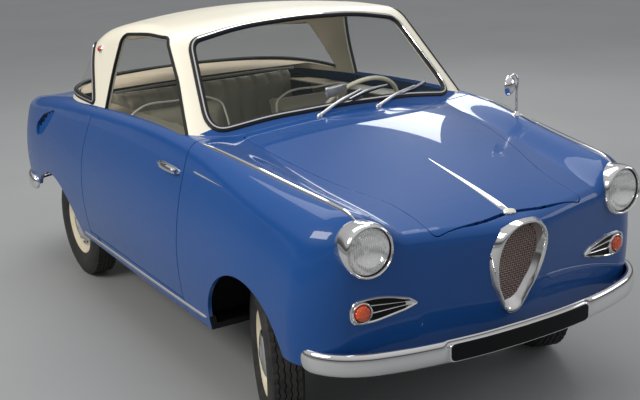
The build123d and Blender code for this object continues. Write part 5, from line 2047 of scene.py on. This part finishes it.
@dataclass
class Brightwork:
    """Strips, spear, badge, handles, mirror, wipers and small lamps."""

    lines: Lines
    strip: tuple[Pair, ...] = ((-6.2, -2), (-5.6, 2.8), (-2.4, 6.0), (2.4, 6.0), (5.6, 2.8), (6.2, -2))

    def build(self) -> None:
        """Makes all of them."""
        self._strips()
        self._spear()
        self._handles()
        self._mirror()
        self._wipers()
        self._lamps()
        self._scoops()

    def _strips(self) -> None:
        """Strips along the fenders and the sills."""
        body = self.lines.body
        y = np.linspace(-536, -1338, 90)
        x = body.tracks[4](y) - 3 + np.clip((y + 900) / 364, 0, 1) * 4
        path = body.land(x, y, 560, UP)
        ridge = Workshop.sweep(
            "ridge", path, body.normal(path), self.strip, False,
            lambda t: min(1.0, 0.25 + 7 * t, 0.6 + 6 * (1 - t))
        )
        y = np.linspace(-569, -779, 40)
        x = body.tracks[4](y) + 26
        z = 799 - 9 * (y + 569) / -210
        flow = body.land(0, y, z, LEFT)
        dart = Workshop.sweep(
            "dart", flow, body.normal(flow), [(-3.4, -1), (-2.6, 2.2), (0, 3.4), (2.6, 2.2), (3.4, -1)],
            False,
            lambda t: min(1.0, 0.3 + 9 * t, 0.12 + 1.3 * (1 - t)),
        )
        place_piece(Workshop.both("fender_darts", dart), CHROME)
        place_piece(Workshop.both("fender_strips", ridge), CHROME)
        y = np.linspace(-640, 612, 100)
        z = 303 - 14 * (y + 626) / 1240
        path = body.land(0, y, z, LEFT)
        sill = Workshop.sweep(
            "sill", path, body.normal(path),
            [(-5.6, -3), (-5, 3), (-2.4, 5.6), (2.4, 5.6), (5, 3), (5.6, -3)], False,
            lambda t: min(1.0, 0.3 + 40 * t, 0.3 + 40 * (1 - t)),
        )
        place_piece(Workshop.both("sill_strips", sill), CHROME)

    def _spear(self) -> None:
        """Long pointed spear on the hood, with a blank oval badge at its foot."""
        body = self.lines.body
        y = np.linspace(-1016, -1416, 60)
        path = body.land(0, y, 500, UP)
        spear = Workshop.sweep(
            "hood_spear", path, body.normal(path), [(-15, -2), (-11, 3.2), (0, 9.5), (11, 3.2), (15, -2)],
            False,
            lambda t: 0.10 + 0.90 * min(1.0, t / 0.9) ** 0.9 - max(0.0, t - 0.9) * 3.0,
        )
        place_piece(spear, CHROME, "hood")
        at = Vector(path[-1]) * MM
        up = Vector(body.normal(path[-1:])[0])
        oval = Workshop.lathe("hood_badge", ((-4, 15), (3, 15), (5.5, 13.5), (6, 11.5)), at, up, 40, 50)
        inner = Workshop.lathe("badge_enamel", ((2, 12), (6.2, 11.5), (7.6, 6), (8, 0)), at, up, 32)
        for piece, finish in ((oval, CHROME), (inner, IVORY)):
            piece.data.transform(
                Matrix.Translation(at) @ Matrix.Scale(1.55, 4, (1, 0, 0)) @ Matrix.Translation(-at)
            )
            place_piece(piece, finish, "hood")

    def _handles(self) -> None:
        """Door levers on oval foot plates."""
        body = self.lines.body
        y = np.linspace(-300, -478, 40)
        path = body.land(0, y, 779 + 0.02 * (y + 390), LEFT)
        up = body.normal(path)
        run = np.linspace(0, 1, 40)[:, None]
        raised = path + up * (9 + 15 * np.sin(run * 2.6))
        lever = Workshop.sweep(
            "lever", raised, up,
            [(-11, 0), (-8, 5.5), (0, 8), (8, 5.5), (11, 0), (8, -3.5), (0, -4.5), (-8, -3.5)],
            False, lambda t: min(1.0, 0.22 + 1.9 * t) * (1.0 if t < 0.93 else 0.85),
        )
        plate = Workshop.sweep(
            "plate", path, up, [(-12, -2), (-11, 2.5), (-6, 4.5), (6, 4.5), (11, 2.5), (12, -2)], False,
            lambda t: math.sqrt(max(0.05, 1 - (2 * t - 1) ** 4)),
        )
        at = Vector(raised[-5]) * MM
        button = Workshop.lathe("button", ((-20, 7), (7, 7), (9, 5.5), (9.5, 0)), at, Vector(up[-5]), 24)
        handle = Workshop.joined("handle_left_lever", [lever, plate, button])
        place_sides(handle, CHROME, "door_left", ["handle_left"], False)

    def _mirror(self) -> None:
        """Round mirror on a bent stalk on the left fender."""
        base = self.lines.body.land(546, -815, 500, UP)[0]
        path = Workshop.curve(
            [base - [0, 0, 8], base + [1, 0, 30], base + [5, 4, 90],
             (555, -808, 990), (546, -804, 1003), (533, -801, 998)],
            50,
        )
        stalk = Workshop.tube("stalk", path, 4.6, 14, (0, 1, 0.2), lambda t: 1.35 - 0.45 * min(1, t * 2.5))
        foot = Workshop.lathe(
            "foot", ((-6, 20), (2, 19), (5, 14), (9, 8), (14, 6)), Vector(base) * MM,
            Vector(self.lines.body.normal(base[None])[0]), 32,
        )
        way = Vector((-0.5, 0.866, 0.0))
        at = Vector((533, -797, 963)) * MM
        shell = Workshop.lathe(
            "shell",
            ((-19, 0), (-18, 9), (-13, 22), (-5, 33), (4, 37.5), (8, 38), (9.5, 36.8), (9, 35), (7, 34.5)),
            at, way, 48, 50,
        )
        below = np.array([(533.0, -801.0, 998.0), (533.0, -799.0, 990.0), (533.0, -798.0, 980.0)])
        neck = Workshop.tube("neck", below, 5, 12, (0, 1, 0))
        place_piece(Workshop.joined("mirror_shell", [stalk, foot, shell, neck]), CHROME, "body",
                    ["fender_mirror"])
        glass = Workshop.lathe("mirror_glass", ((7.2, 35), (7.4, 20), (7.5, 0)), at, way, 40)
        place_piece(glass, CHROME)

    def _wipers(self) -> None:
        """Wiper arms and blades on the windscreen."""
        pieces, blades = [], []
        for sign, arm_end, blade in (
            (-1, (83, -494, 968), ((10, -526, 944), (100, -508, 958), (214, -470, 962))),
            (1, (331, -484, 948), ((262, -492, 926), (335, -476, 934), (408, -446, 946))),
        ):
            pivot = np.array([126.0 * sign, -538.0, 902.0])
            up = Vector((0, -0.55, 0.84))
            hub = ((-14, 12), (4, 12), (9, 10), (12, 6), (13, 0))
            pieces.append(Workshop.lathe("hub", hub, Vector(pivot) * MM, up, 28))
            start = pivot + np.array(up) * 7
            bow = (start * 0.55 + np.array(arm_end) * 0.45) + np.array(up) * 12
            path = Workshop.curve([start, bow, arm_end], 30)
            pieces.append(Workshop.tube("arm", path, 7.0, 8, up, lambda t: 1.0 - 0.45 * t, 0.6))
            spine = Workshop.curve([np.array(b) + np.array(up) * (4 + 5 * k) for b,
                                    k in zip(blade, (0, 1, 0))], 24)
            pieces.append(Workshop.tube("spine", spine, 4.6, 8, up, lambda t: 0.55 + 1.8 * t * (1 - t), 0.8))
            rubber = Workshop.curve([np.array(b) - np.array(up) for b in blade], 24)
            blades.append(Workshop.tube("rubber", rubber, 3.0, 6, up, None, 1.6))
        place_piece(Workshop.joined("wiper_arms", pieces), STEEL, "body", ["wipers"])
        place_piece(Workshop.joined("wiper_rubbers", blades), RUBBER)

    def _lamps(self) -> None:
        """Red lamps on the pillars and at the tail."""
        at = self.lines.cabin.land(0, 508, 1078, LEFT)[0]
        up = Vector(self.lines.cabin.normal(at[None])[0])
        base = Workshop.lathe("base", ((-4, 17), (3, 16.5), (6, 14), (7, 12)), Vector(at) * MM, up, 32)
        dome = Workshop.lathe("dome", ((4, 12.4), (10, 11.6), (14, 8.5), (16, 4), (16.4, 0)),
                              Vector(at) * MM, up, 24)
        tail_at, back = Vector((520, 1462, 632)) * MM, Vector((0, 1, 0))
        bezel = Workshop.lathe(
            "bezel", ((-30, 38), (10, 39), (22, 38), (28, 35.5), (29, 33), (26, 31.5), (10, 31)), tail_at,
            back, 48, 50
        )
        steps = tuple((26 + 20 * math.sqrt(max(0.0, 1 - (r / 32) ** 2)) - (1.3 if i % 2 else 0), r)
                      for i, r in enumerate((31, 28, 25, 22, 19, 16, 13, 10, 7, 4, 0)))
        lens = Workshop.lathe("lens", ((20, 31.5), *steps), tail_at, back, 40, 12)
        place_piece(Workshop.both("lamp_bases", Workshop.joined("bases", [base, bezel])), CHROME)
        place_piece(Workshop.both("pillar_domes", dome), RED, "body", ["pillar_lamps"])
        place_piece(Workshop.both("tail_glasses", lens), RED, "body", ["tail_lamps"])
        shape = Matrix.Translation((0, 1.509, 0.495)) @ Matrix.Diagonal((0.26, 0.004, 0.11, 1))
        place_piece(Workshop.block("rear_plate", shape, 0.0015, 2), PLATE, "body", ["number_plates"])

    def _scoops(self) -> None:
        """Louvred air intakes on the rear quarters, with a black sheet behind the louvres as painted shade.
        """
        body = self.lines.body
        # black sheet behind the louvres: painted shade inside the intakes
        back = Skin(
            "scoop_back_left", Inset(body, 15), flank_fan(900, 1190, -5, 48, 250, 560), (40, 28),
            (Cut(lambda p: self.lines.scoop.distance(p) - 10, False),), edge=0.2, depth=0.6,
        ).build()
        place_sides(back, PLATE)
        slats = []
        for y, low, high in ((975, 690, 765), (1010, 668, 742), (1045, 652, 718), (1080, 642, 694),
                             (1115, 634, 672)):
            z = np.linspace(low, high, 12)
            path = body.land(0, y, z, LEFT)
            slats.append(
                Workshop.sweep("slat", path, body.normal(path), [(-6, -13), (-4, -12), (5, -2), (3, -3)],
                               False)
            )
        place_piece(Workshop.both("scoop_slats", Workshop.joined("slats", slats)), BLUE)


@dataclass
class Wheel:
    """Tyre with zigzag tread on a cream rim with a bright hubcap."""

    corner: str
    centre: Point
    side: int
    turned: float = 0.0
    carcass: tuple[Pair, ...] = (
        (-40, 139), (-46, 145), (-54, 160), (-58.5, 184), (-58, 204), (-54.5, 220), (-49, 231), (-45, 235.5),
        (45, 235.5), (49, 231), (54.5, 220), (58, 204), (58.5, 184), (54, 160), (46, 145), (40, 139),
        (36, 134),
        (-36, 134), (-40, 139),
    )
    ribs: tuple[float, ...] = (-37.5, -18.7, 0.0, 18.7, 37.5)
    rib_half: float = 8.0
    zigzag: float = 2.4
    turns: int = 46
    rim: tuple[Pair, ...] = (
        (41, 141), (43.5, 143), (44.5, 140.5), (43, 137), (39, 133), (36, 129), (31, 126), (28, 121),
        (25, 112),
        (24, 96), (24, 70), (20, 70), (20, 96), (21, 113), (23, 124), (27, 129.5), (-40, 129.5), (-46, 143),
        (-48, 143), (-43, 126), (25, 126), (32, 132), (36, 136), (41, 141),
    )
    cap: tuple[Pair, ...] = (
        (24, 106), (29, 107), (32, 105), (33, 101), (34, 88), (38, 82), (45, 72), (49, 56), (51.5, 40),
        (52, 30),
        (54, 26), (55.5, 18), (56, 0),
    )

    def _set(self, obj: Piece) -> Piece:
        """Turns a piece built at the origin into its place.

        Args:
            obj: Piece built round the origin.

        Returns:
            The piece.
        """
        turn = Matrix.Rotation(math.radians(self.turned), 4, "Z")
        if self.side < 0:
            turn = turn @ Matrix.Rotation(math.pi, 4, "Z")
        obj.data.transform(Matrix.Translation(Vector(self.centre) * MM) @ turn)
        return obj

    def build(self) -> None:
        """Makes the wheel."""
        zero, axis, body = Vector(), Vector((1, 0, 0)), f"wheel_{self.corner}"
        tyre = Workshop.lathe("carcass", self.carcass, zero, axis, 96, 60)
        bm = bmesh.new()
        angle = np.linspace(0, math.tau, self.turns * 4 + 1)
        wave = self.zigzag * np.array([0, 1, 0, -1])[np.arange(len(angle)) % 4]
        for rib in self.ribs:
            outer = abs(rib) == max(self.ribs)
            h = self.rib_half
            a = np.array([-h, -h + 0.8, h - 0.8, h])[None, :] + rib
            sway = np.tile(wave[:, None], (1, 4))
            if outer:
                sway[:, 2:] *= 0.0 if rib > 0 else 1.0
                sway[:, :2] *= 1.0 if rib > 0 else 0.0
            r = np.array([234.5, 242.6, 242.6, 234.5])[None, :] + 0 * sway
            if outer:
                r = r - np.where((np.arange(len(angle)) % 4 == 0)[:, None], 3.0,
                                 0.0) * np.array([0, 1, 1, 0]) - 1.0
            a = a + sway
            rows = np.stack([a, r * np.cos(angle)[:, None], r * np.sin(angle)[:, None]], -1)
            Workshop.weave_into(bm, rows)
        tread = Workshop.finish(bm, "tread", 30)
        place_piece(
            self._set(Workshop.joined(f"tyre_{self.corner}_rubber", [tyre, tread])), TYRE, body,
            [f"tyre_{self.corner}"]
        )
        rim = Workshop.lathe(f"rim_{self.corner}_steel", self.rim, zero, axis, 96, 40)
        place_piece(self._set(rim), RIM, body, [f"rim_{self.corner}"])
        cap = Workshop.lathe(f"cap_{self.corner}", self.cap, zero, axis, 72, 30)
        place_piece(self._set(cap), CHROME, body)
        slots = bmesh.new()
        for k in range(12):
            place = Matrix.Rotation(k * math.tau / 12, 4, "X") @ Matrix.Translation((0.0336, 0.095, 0))
            shape = Matrix.Diagonal((0.0012, 0.0045, 0.012, 1))
            bmesh.ops.create_uvsphere(slots, u_segments=12, v_segments=6, radius=1.0, matrix=place @ shape)
        place_piece(self._set(Workshop.finish(slots, f"slots_{self.corner}")), RUBBER, body)


@dataclass
class Pad:
    """Padded seat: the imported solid's shape, blown up as cloth and quilted."""

    node: str
    pitch: float
    shrink: float = 5.0
    cap: float = 16.0
    voxel: float = 10.0
    groove: float = 7.0
    back_from: float = 0.0

    def build(self) -> None:
        """Makes the pad."""
        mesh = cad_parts[self.node].data.copy()
        obj = Workshop.link(self.node + "_cover", mesh)
        bm = bmesh.new()
        bm.from_mesh(mesh)
        bmesh.ops.remove_doubles(bm, verts=bm.verts[:], dist=0.00002)
        bm.to_mesh(mesh)
        bm.free()
        remesh = obj.modifiers.new("even", "REMESH")
        remesh.mode, remesh.voxel_size = "VOXEL", self.voxel * MM
        self._apply(obj)
        rest = self._shrink(obj)
        self._blow(obj, rest)
        self._quilt(obj)
        obj.data.shade_smooth()
        smooth = obj.modifiers.new("smooth", "SUBSURF")
        smooth.levels = smooth.render_levels = 1
        place_piece(obj, VINYL, "body", [self.node])

    @staticmethod
    def _apply(obj: Piece) -> None:
        """Makes a modifier's result the object's own mesh."""
        graph = bpy.context.evaluated_depsgraph_get()
        made = bpy.data.meshes.new_from_object(obj.evaluated_get(graph))
        obj.modifiers.clear()
        obj.data = made

    def _shrink(self, obj: Piece) -> Array:
        """Rounds the form and draws it in a little.

        Args:
            obj: The pad.

        Returns:
            Place of each vertex, in metres.
        """
        bm = bmesh.new()
        bm.from_mesh(obj.data)
        for _ in range(3):
            bmesh.ops.smooth_vert(bm, verts=bm.verts[:], factor=0.5, use_axis_x=True, use_axis_y=True,
                                  use_axis_z=True)
        bm.normal_update()
        for v in bm.verts:
            v.co -= v.normal * self.shrink * MM
        bm.to_mesh(obj.data)
        bm.free()
        rest = np.empty(len(obj.data.vertices) * 3, np.float32)
        obj.data.vertices.foreach_get("co", rest)
        return rest.reshape(-1, 3)

    def _blow(self, obj: Piece, rest: Array) -> None:
        """Blows the form up as cloth and limits how far it swells.

        Args:
            obj: The pad.
            rest: Place of each vertex before, in metres.
        """
        cloth = obj.modifiers.new("cloth", "CLOTH")
        cloth.settings.use_pressure = True
        cloth.settings.uniform_pressure_force = 4.0
        cloth.settings.effector_weights.gravity = 0.0
        cloth.settings.quality = 4
        scene = bpy.context.scene
        for step in range(1, 21):
            scene.frame_set(step)
        self._apply(obj)
        scene.frame_set(1)
        swollen = np.empty_like(rest).ravel()
        obj.data.vertices.foreach_get("co", swollen)
        move = swollen.reshape(-1, 3) - rest
        size = np.linalg.norm(move, axis=1, keepdims=True)
        move *= np.minimum(1.0, self.cap * MM / np.maximum(size, 1e-9))
        obj.data.vertices.foreach_set("co", (rest + move).astype(np.float32).ravel())

    def _quilt(self, obj: Piece) -> None:
        """Presses the sewn channels into the front of the back and the top of the cushion."""
        bm = bmesh.new()
        bm.from_mesh(obj.data)
        bm.normal_update()
        for v in bm.verts:
            facing = max(0.0, -v.normal.y) + (max(0.0, v.normal.z) if v.co.y < self.back_from * MM else 0.0)
            if facing > 0.35:
                across = abs(math.cos(math.pi * v.co.x / (self.pitch * MM)))
                v.co -= v.normal * self.groove * MM * across**14 * min(1.0, facing)
        bm.to_mesh(obj.data)
        bm.free()


@dataclass
class Cabin:
    """What is seen inside: seats, linings, shelf, dashboard, wheel and mirror."""

    lines: Lines

    def build(self) -> None:
        """Makes the cabin."""
        Pad("rear_bench", 78.0, back_from=590.0, groove=12.0).build()
        for side in ("left", "right"):
            Pad(f"seat_{side}", 1400.0, back_from=200.0, groove=0.0).build()
        self._piping()
        self._linings()
        self._dash()
        self._wheel()
        self._mirror()

    def _piping(self) -> None:
        """Pale piping round the seat backs."""
        path = Workshop.curve(
            [(84, 232, 500), (82, 268, 620), (82, 312, 780), (94, 328, 832), (140, 338, 858), (300, 344, 866),
             (455, 338, 858), (501, 328, 832), (513, 312, 780), (513, 268, 620), (511, 232, 500)], 90)
        ropes = [
            Workshop.tube(f"piping_{side}", path * [flip, 1, 0.985] + [0, ahead, 0], 4.5, 8, (0, -1, 0.2))
            for side, flip, ahead in (("left", 1, -150), ("right", -1, 0))
        ]
        place_piece(Workshop.joined("seat_piping_all", ropes), PIPING)
        roll = Workshop.curve([(-445, 652, 862), (-300, 648, 868), (0, 646, 870), (300, 648, 868),
                               (445, 652, 862)], 60)
        place_piece(Workshop.tube("bench_piping", roll, 5.5, 8, (0, -1, 0.2)), VINYL)

    def _linings(self) -> None:
        """Door and side linings and the shelf."""
        body, cabin = self.lines.body, self.lines.cabin
        inner = Inset(body, 54)
        for name, y_from, y_to, rider, top, finish in (
            ("door", -470, 412, "door_left", 842, VINYL), ("rear", 418, 742, "body", 868, BEIGE),
        ):
            lining = Skin(
                f"{name}_lining_left", inner, flank_fan(y_from, y_to, -44, 62, 330, 600), (60, 44),
                (Cut(lambda p, t=top: p[:, 2] - t), Cut(lambda p: 326 - p[:, 2])), edge=3.0, depth=3.0,
            ).build()
            place_sides(lining, finish, rider)
        y = np.linspace(722, 1062, 36)
        edge = np.array([cabin.land(0, v, 880, LEFT)[0, 0] for v in y]) - 16
        across = np.linspace(-1, 1, 48)
        crown = 866 + 5 * np.cos(across * 2)[None, :] + 0 * edge[:, None]
        rows = np.stack([edge[:, None] * across, np.tile(y[:, None], (1, 48)), crown], -1)
        place_piece(Workshop.weave("parcel_shelf", rows), BEIGE)

    def _dash(self) -> None:
        """Padded dashboard with a dial cluster."""
        section = [(-548, 852), (-470, 866), (-428, 866), (-408, 858), (-398, 842), (-398, 820), (-410, 760),
                   (-440, 716),
                   (-548, 706), (-548, 852)]
        x = np.linspace(-1, 1, 60)
        rows = np.array([[(v * 536, y + 46 * abs(v) ** 3.0, z - 16 * abs(v) ** 4) for y,
                          z in section] for v in x])
        place_piece(Workshop.weave("dash_pad", rows, 40, True), VINYL, "body", ["dashboard"])
        at, way = Vector((300, -402, 812)) * MM, Vector((0, 1, 0.25))
        dial = Workshop.lathe("dial_ring", ((-20, 62), (8, 60), (13, 56), (14, 52), (8, 50), (6, 0)), at,
                              way, 48, 40)
        place_piece(dial, IVORY)

    def _wheel(self) -> None:
        """Ivory steering wheel with two spokes."""
        centre, lean, radius = np.array([300.0, -125.0, 790.0]), math.radians(33), 185.0
        side, up = np.array([1.0, 0, 0]), np.array([0.0, -math.sin(lean), math.cos(lean)])
        normal = np.array([0.0, math.cos(lean), math.sin(lean)])
        turn = np.linspace(0, math.tau, 97)[:, None]
        path = centre + radius * (np.cos(turn) * side + np.sin(turn) * up)
        out = np.cos(turn) * side + np.sin(turn) * up
        a = np.radians(np.arange(0, 360, 30))
        profile = [(9.0 * math.cos(v), 9.0 * math.sin(v)) for v in a]
        pieces = [Workshop.sweep("rim", path, out, profile)]
        for angle in (0, 180):
            v = math.radians(angle)
            end = centre + radius * 0.98 * (math.cos(v) * side + math.sin(v) * up)
            spoke = Workshop.curve([centre - normal * 16, (centre + end) / 2 - normal * 12, end], 16)
            pieces.append(Workshop.tube("spoke", spoke, 13, 10, normal, lambda t: 1.1 - 0.35 * t, 0.45))
        boss = ((-34, 24), (-20, 34), (-6, 38), (4, 34), (9, 22), (10, 0))
        hub = Workshop.lathe("hub", boss, Vector(centre - normal * 6) * MM, Vector(normal), 48)
        place_piece(Workshop.joined("steering_rim", [*pieces, hub]), IVORY, "steering_wheel",
                    ["steering_wheel"])

    def _mirror(self) -> None:
        """Mirror over the dashboard."""
        place, turn = Matrix.Translation((0, -0.452, 0.968)), Matrix.Rotation(0.35, 4, "Z")
        shape = place @ turn @ Matrix.Diagonal((0.118, 0.016, 0.040, 1))
        place_piece(Workshop.block("inside_mirror", shape, 0.006, 4), STEEL)
        stem = Workshop.curve([(0, -470, 858), (0, -468, 910), (0, -456, 950)], 12)
        place_piece(Workshop.tube("inside_mirror_stem", stem, 4.5, 10, (1, 0, 0)), STEEL)


@dataclass
class Studio:
    """Floor, light and camera."""

    place: Point = (-2.046, -3.792, 1.714)
    azimuth: float = -30.386
    elevation: float = 16.505
    roll: float = -2.525
    focal_px: float = 1084.334
    frame_px: float = 640.0
    fill: float = 0.66
    mirrored: tuple[Pair, ...] = (
        (0.44, 0.30), (0.505, 0.30), (0.53, 0.06), (0.59, 0.10), (0.66, 0.42), (1.0, 0.62),
    )

    def build(self) -> None:
        """Makes the floor, the lamps, the world and the camera."""
        bpy.context.scene.view_settings.view_transform = "Standard"
        self._camera()
        self._floor()
        self._lamps()
        self._world()

    def _camera(self) -> None:
        """Sets the camera at the photograph's viewing angle."""
        data = bpy.data.cameras.new("view")
        data.sensor_width = 36.0
        data.lens = self.focal_px / self.frame_px * data.sensor_width
        data.clip_start, data.clip_end = 0.05, 200.0
        a, e, r = (math.radians(v) for v in (self.azimuth, self.elevation, self.roll))
        back = Vector((math.sin(a) * math.cos(e), -math.cos(a) * math.cos(e), math.sin(e)))
        right = Vector((0, 0, 1)).cross(back).normalized()
        up = back.cross(right)
        right, up = right * math.cos(r) + up * math.sin(r), up * math.cos(r) - right * math.sin(r)
        camera = bpy.data.objects.new("view", data)
        camera.matrix_world = Matrix((right, up, back)).transposed().to_4x4()
        camera.location = self.place
        bpy.context.scene.collection.objects.link(camera)
        bpy.context.scene.camera = camera

    def _floor(self) -> None:
        """Lays a wide pale floor."""
        bm = bmesh.new()
        bmesh.ops.create_grid(bm, x_segments=1, y_segments=1, size=40.0)
        floor = Workshop.finish(bm, "floor")
        r = Recipe("floor_pale")
        r.set(
            Base_Color=r.mix(r.noise(0.8, 3.0), (0.27, 0.27, 0.27), (0.33, 0.33, 0.325)), Roughness=0.5,
            Specular_IOR_Level=0.15,
        )
        floor.data.materials.append(r.material)

    def _lamps(self) -> None:
        """Hangs soft lamps over and beside the car."""
        # name, place, aim, width, height, watts, tint
        lamps = (
            ("key", (-4.4, -1.0, 3.8), (0, -0.2, 0.6), 2.6, 1.4, 150.0, (1.0, 0.97, 0.92)),
            ("sky", (0.4, 1.4, 5.6), (0, 0.4, 0.4), 5.0, 3.0, 125.0, (0.98, 0.99, 1.0)),
            ("side", (4.8, -2.4, 2.4), (0.3, -0.8, 0.7), 2.6, 1.4, 25.0, (0.95, 0.98, 1.0)),
            ("window", (3.2, 4.0, 3.4), (0.2, -0.9, 0.8), 2.4, 1.2, 60.0, (0.96, 0.98, 1.0)),
        )
        for name, place, aim, width, height, watts, tint in lamps:
            data = bpy.data.lights.new(name, "AREA")
            data.shape = "RECTANGLE"
            data.size, data.size_y, data.energy, data.color = width, height, watts, tint
            lamp = bpy.data.objects.new(name, data)
            lamp.location = place
            lamp.rotation_euler = (Vector(aim) - Vector(place)).to_track_quat("-Z", "Y").to_euler()
            bpy.context.scene.collection.objects.link(lamp)

    def _world(self) -> None:
        """Fills the room with soft light and a white background."""
        world = bpy.data.worlds.new("room")
        world.use_nodes = True
        bpy.context.scene.world = world
        g = Graph(world.node_tree)
        white = g.node("Background", inputs={"Strength": 1.0})
        soft = g.tree.nodes["Background"]
        g.feed(soft.inputs["Color"], (0.93, 0.97, 1.0))
        g.feed(soft.inputs["Strength"], self.fill)
        split = g.node("SeparateXYZ", inputs={0: g.node("TexCoord").outputs["Generated"]})
        lift = g.node("Math", {"operation": "MULTIPLY_ADD"}, {0: split.outputs[2], 1: 0.5, 2: 0.5})
        ramp = g.node("ValToRGB", {"stops": self.mirrored}, {0: lift.outputs[0]})
        mirrored = g.node("Background", inputs={"Color": ramp.outputs[0]})
        ray = g.node("LightPath").outputs
        seen = g.node(
            "Math", {"operation": "MAXIMUM"}, {0: ray["Is Camera Ray"], 1: ray["Is Transmission Ray"]}
        )
        share = {0: ray["Is Glossy Ray"], 1: soft.outputs[0], 2: mirrored.outputs[0]}
        first = g.node("MixShader", inputs=share)
        second = g.node("MixShader", inputs={0: seen.outputs[0], 1: first.outputs[0], 2: white.outputs[0]})
        g.feed(g.tree.nodes["World Output"].inputs[0], second.outputs[0])


FRONT_PLAN = (
    (0, -1484), (160, -1478), (300, -1460), (430, -1432), (524, -1398), (584, -1356), (624, -1302),
    (642, -1236),
)
REAR_PLAN = ((0, 1504), (200, 1500), (400, 1484), (560, 1444), (636, 1390), (668, 1310), (674, 1212))
WHEELS = (
    ("front_left", (543.2, -925.3, 243.0), 1, -20.0),
    ("front_right", (-543.2, -904.7, 243.0), -1, -20.0),
    ("rear_left", (545.0, 885.0, 243.0), 1, 0.0),
    ("rear_right", (-545.0, 885.0, 243.0), -1, 0.0),
)


def main() -> None:
    """Builds the car round the frame."""
    logging.basicConfig(level=logging.INFO, format="%(name)s %(message)s")
    lines = Lines()
    Shell(lines).build()
    Glazing(lines).build()
    Headlamps().build()
    Indicators(lines).build()
    Grille().build()
    Bumper("bumper_front_chrome", "bumper_front", FRONT_PLAN, -1.0, 272.0).build()
    Bumper("bumper_rear_chrome", "bumper_rear", REAR_PLAN, 1.0).build()
    Brightwork(lines).build()
    for wheel in WHEELS:
        Wheel(*wheel).build()
    Cabin(lines).build()
    for name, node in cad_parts.items():
        Finishes.dress(node, ENGINE if name == "engine" else CHASSIS)
    Studio().build()


if __name__ == "__main__":
    main()
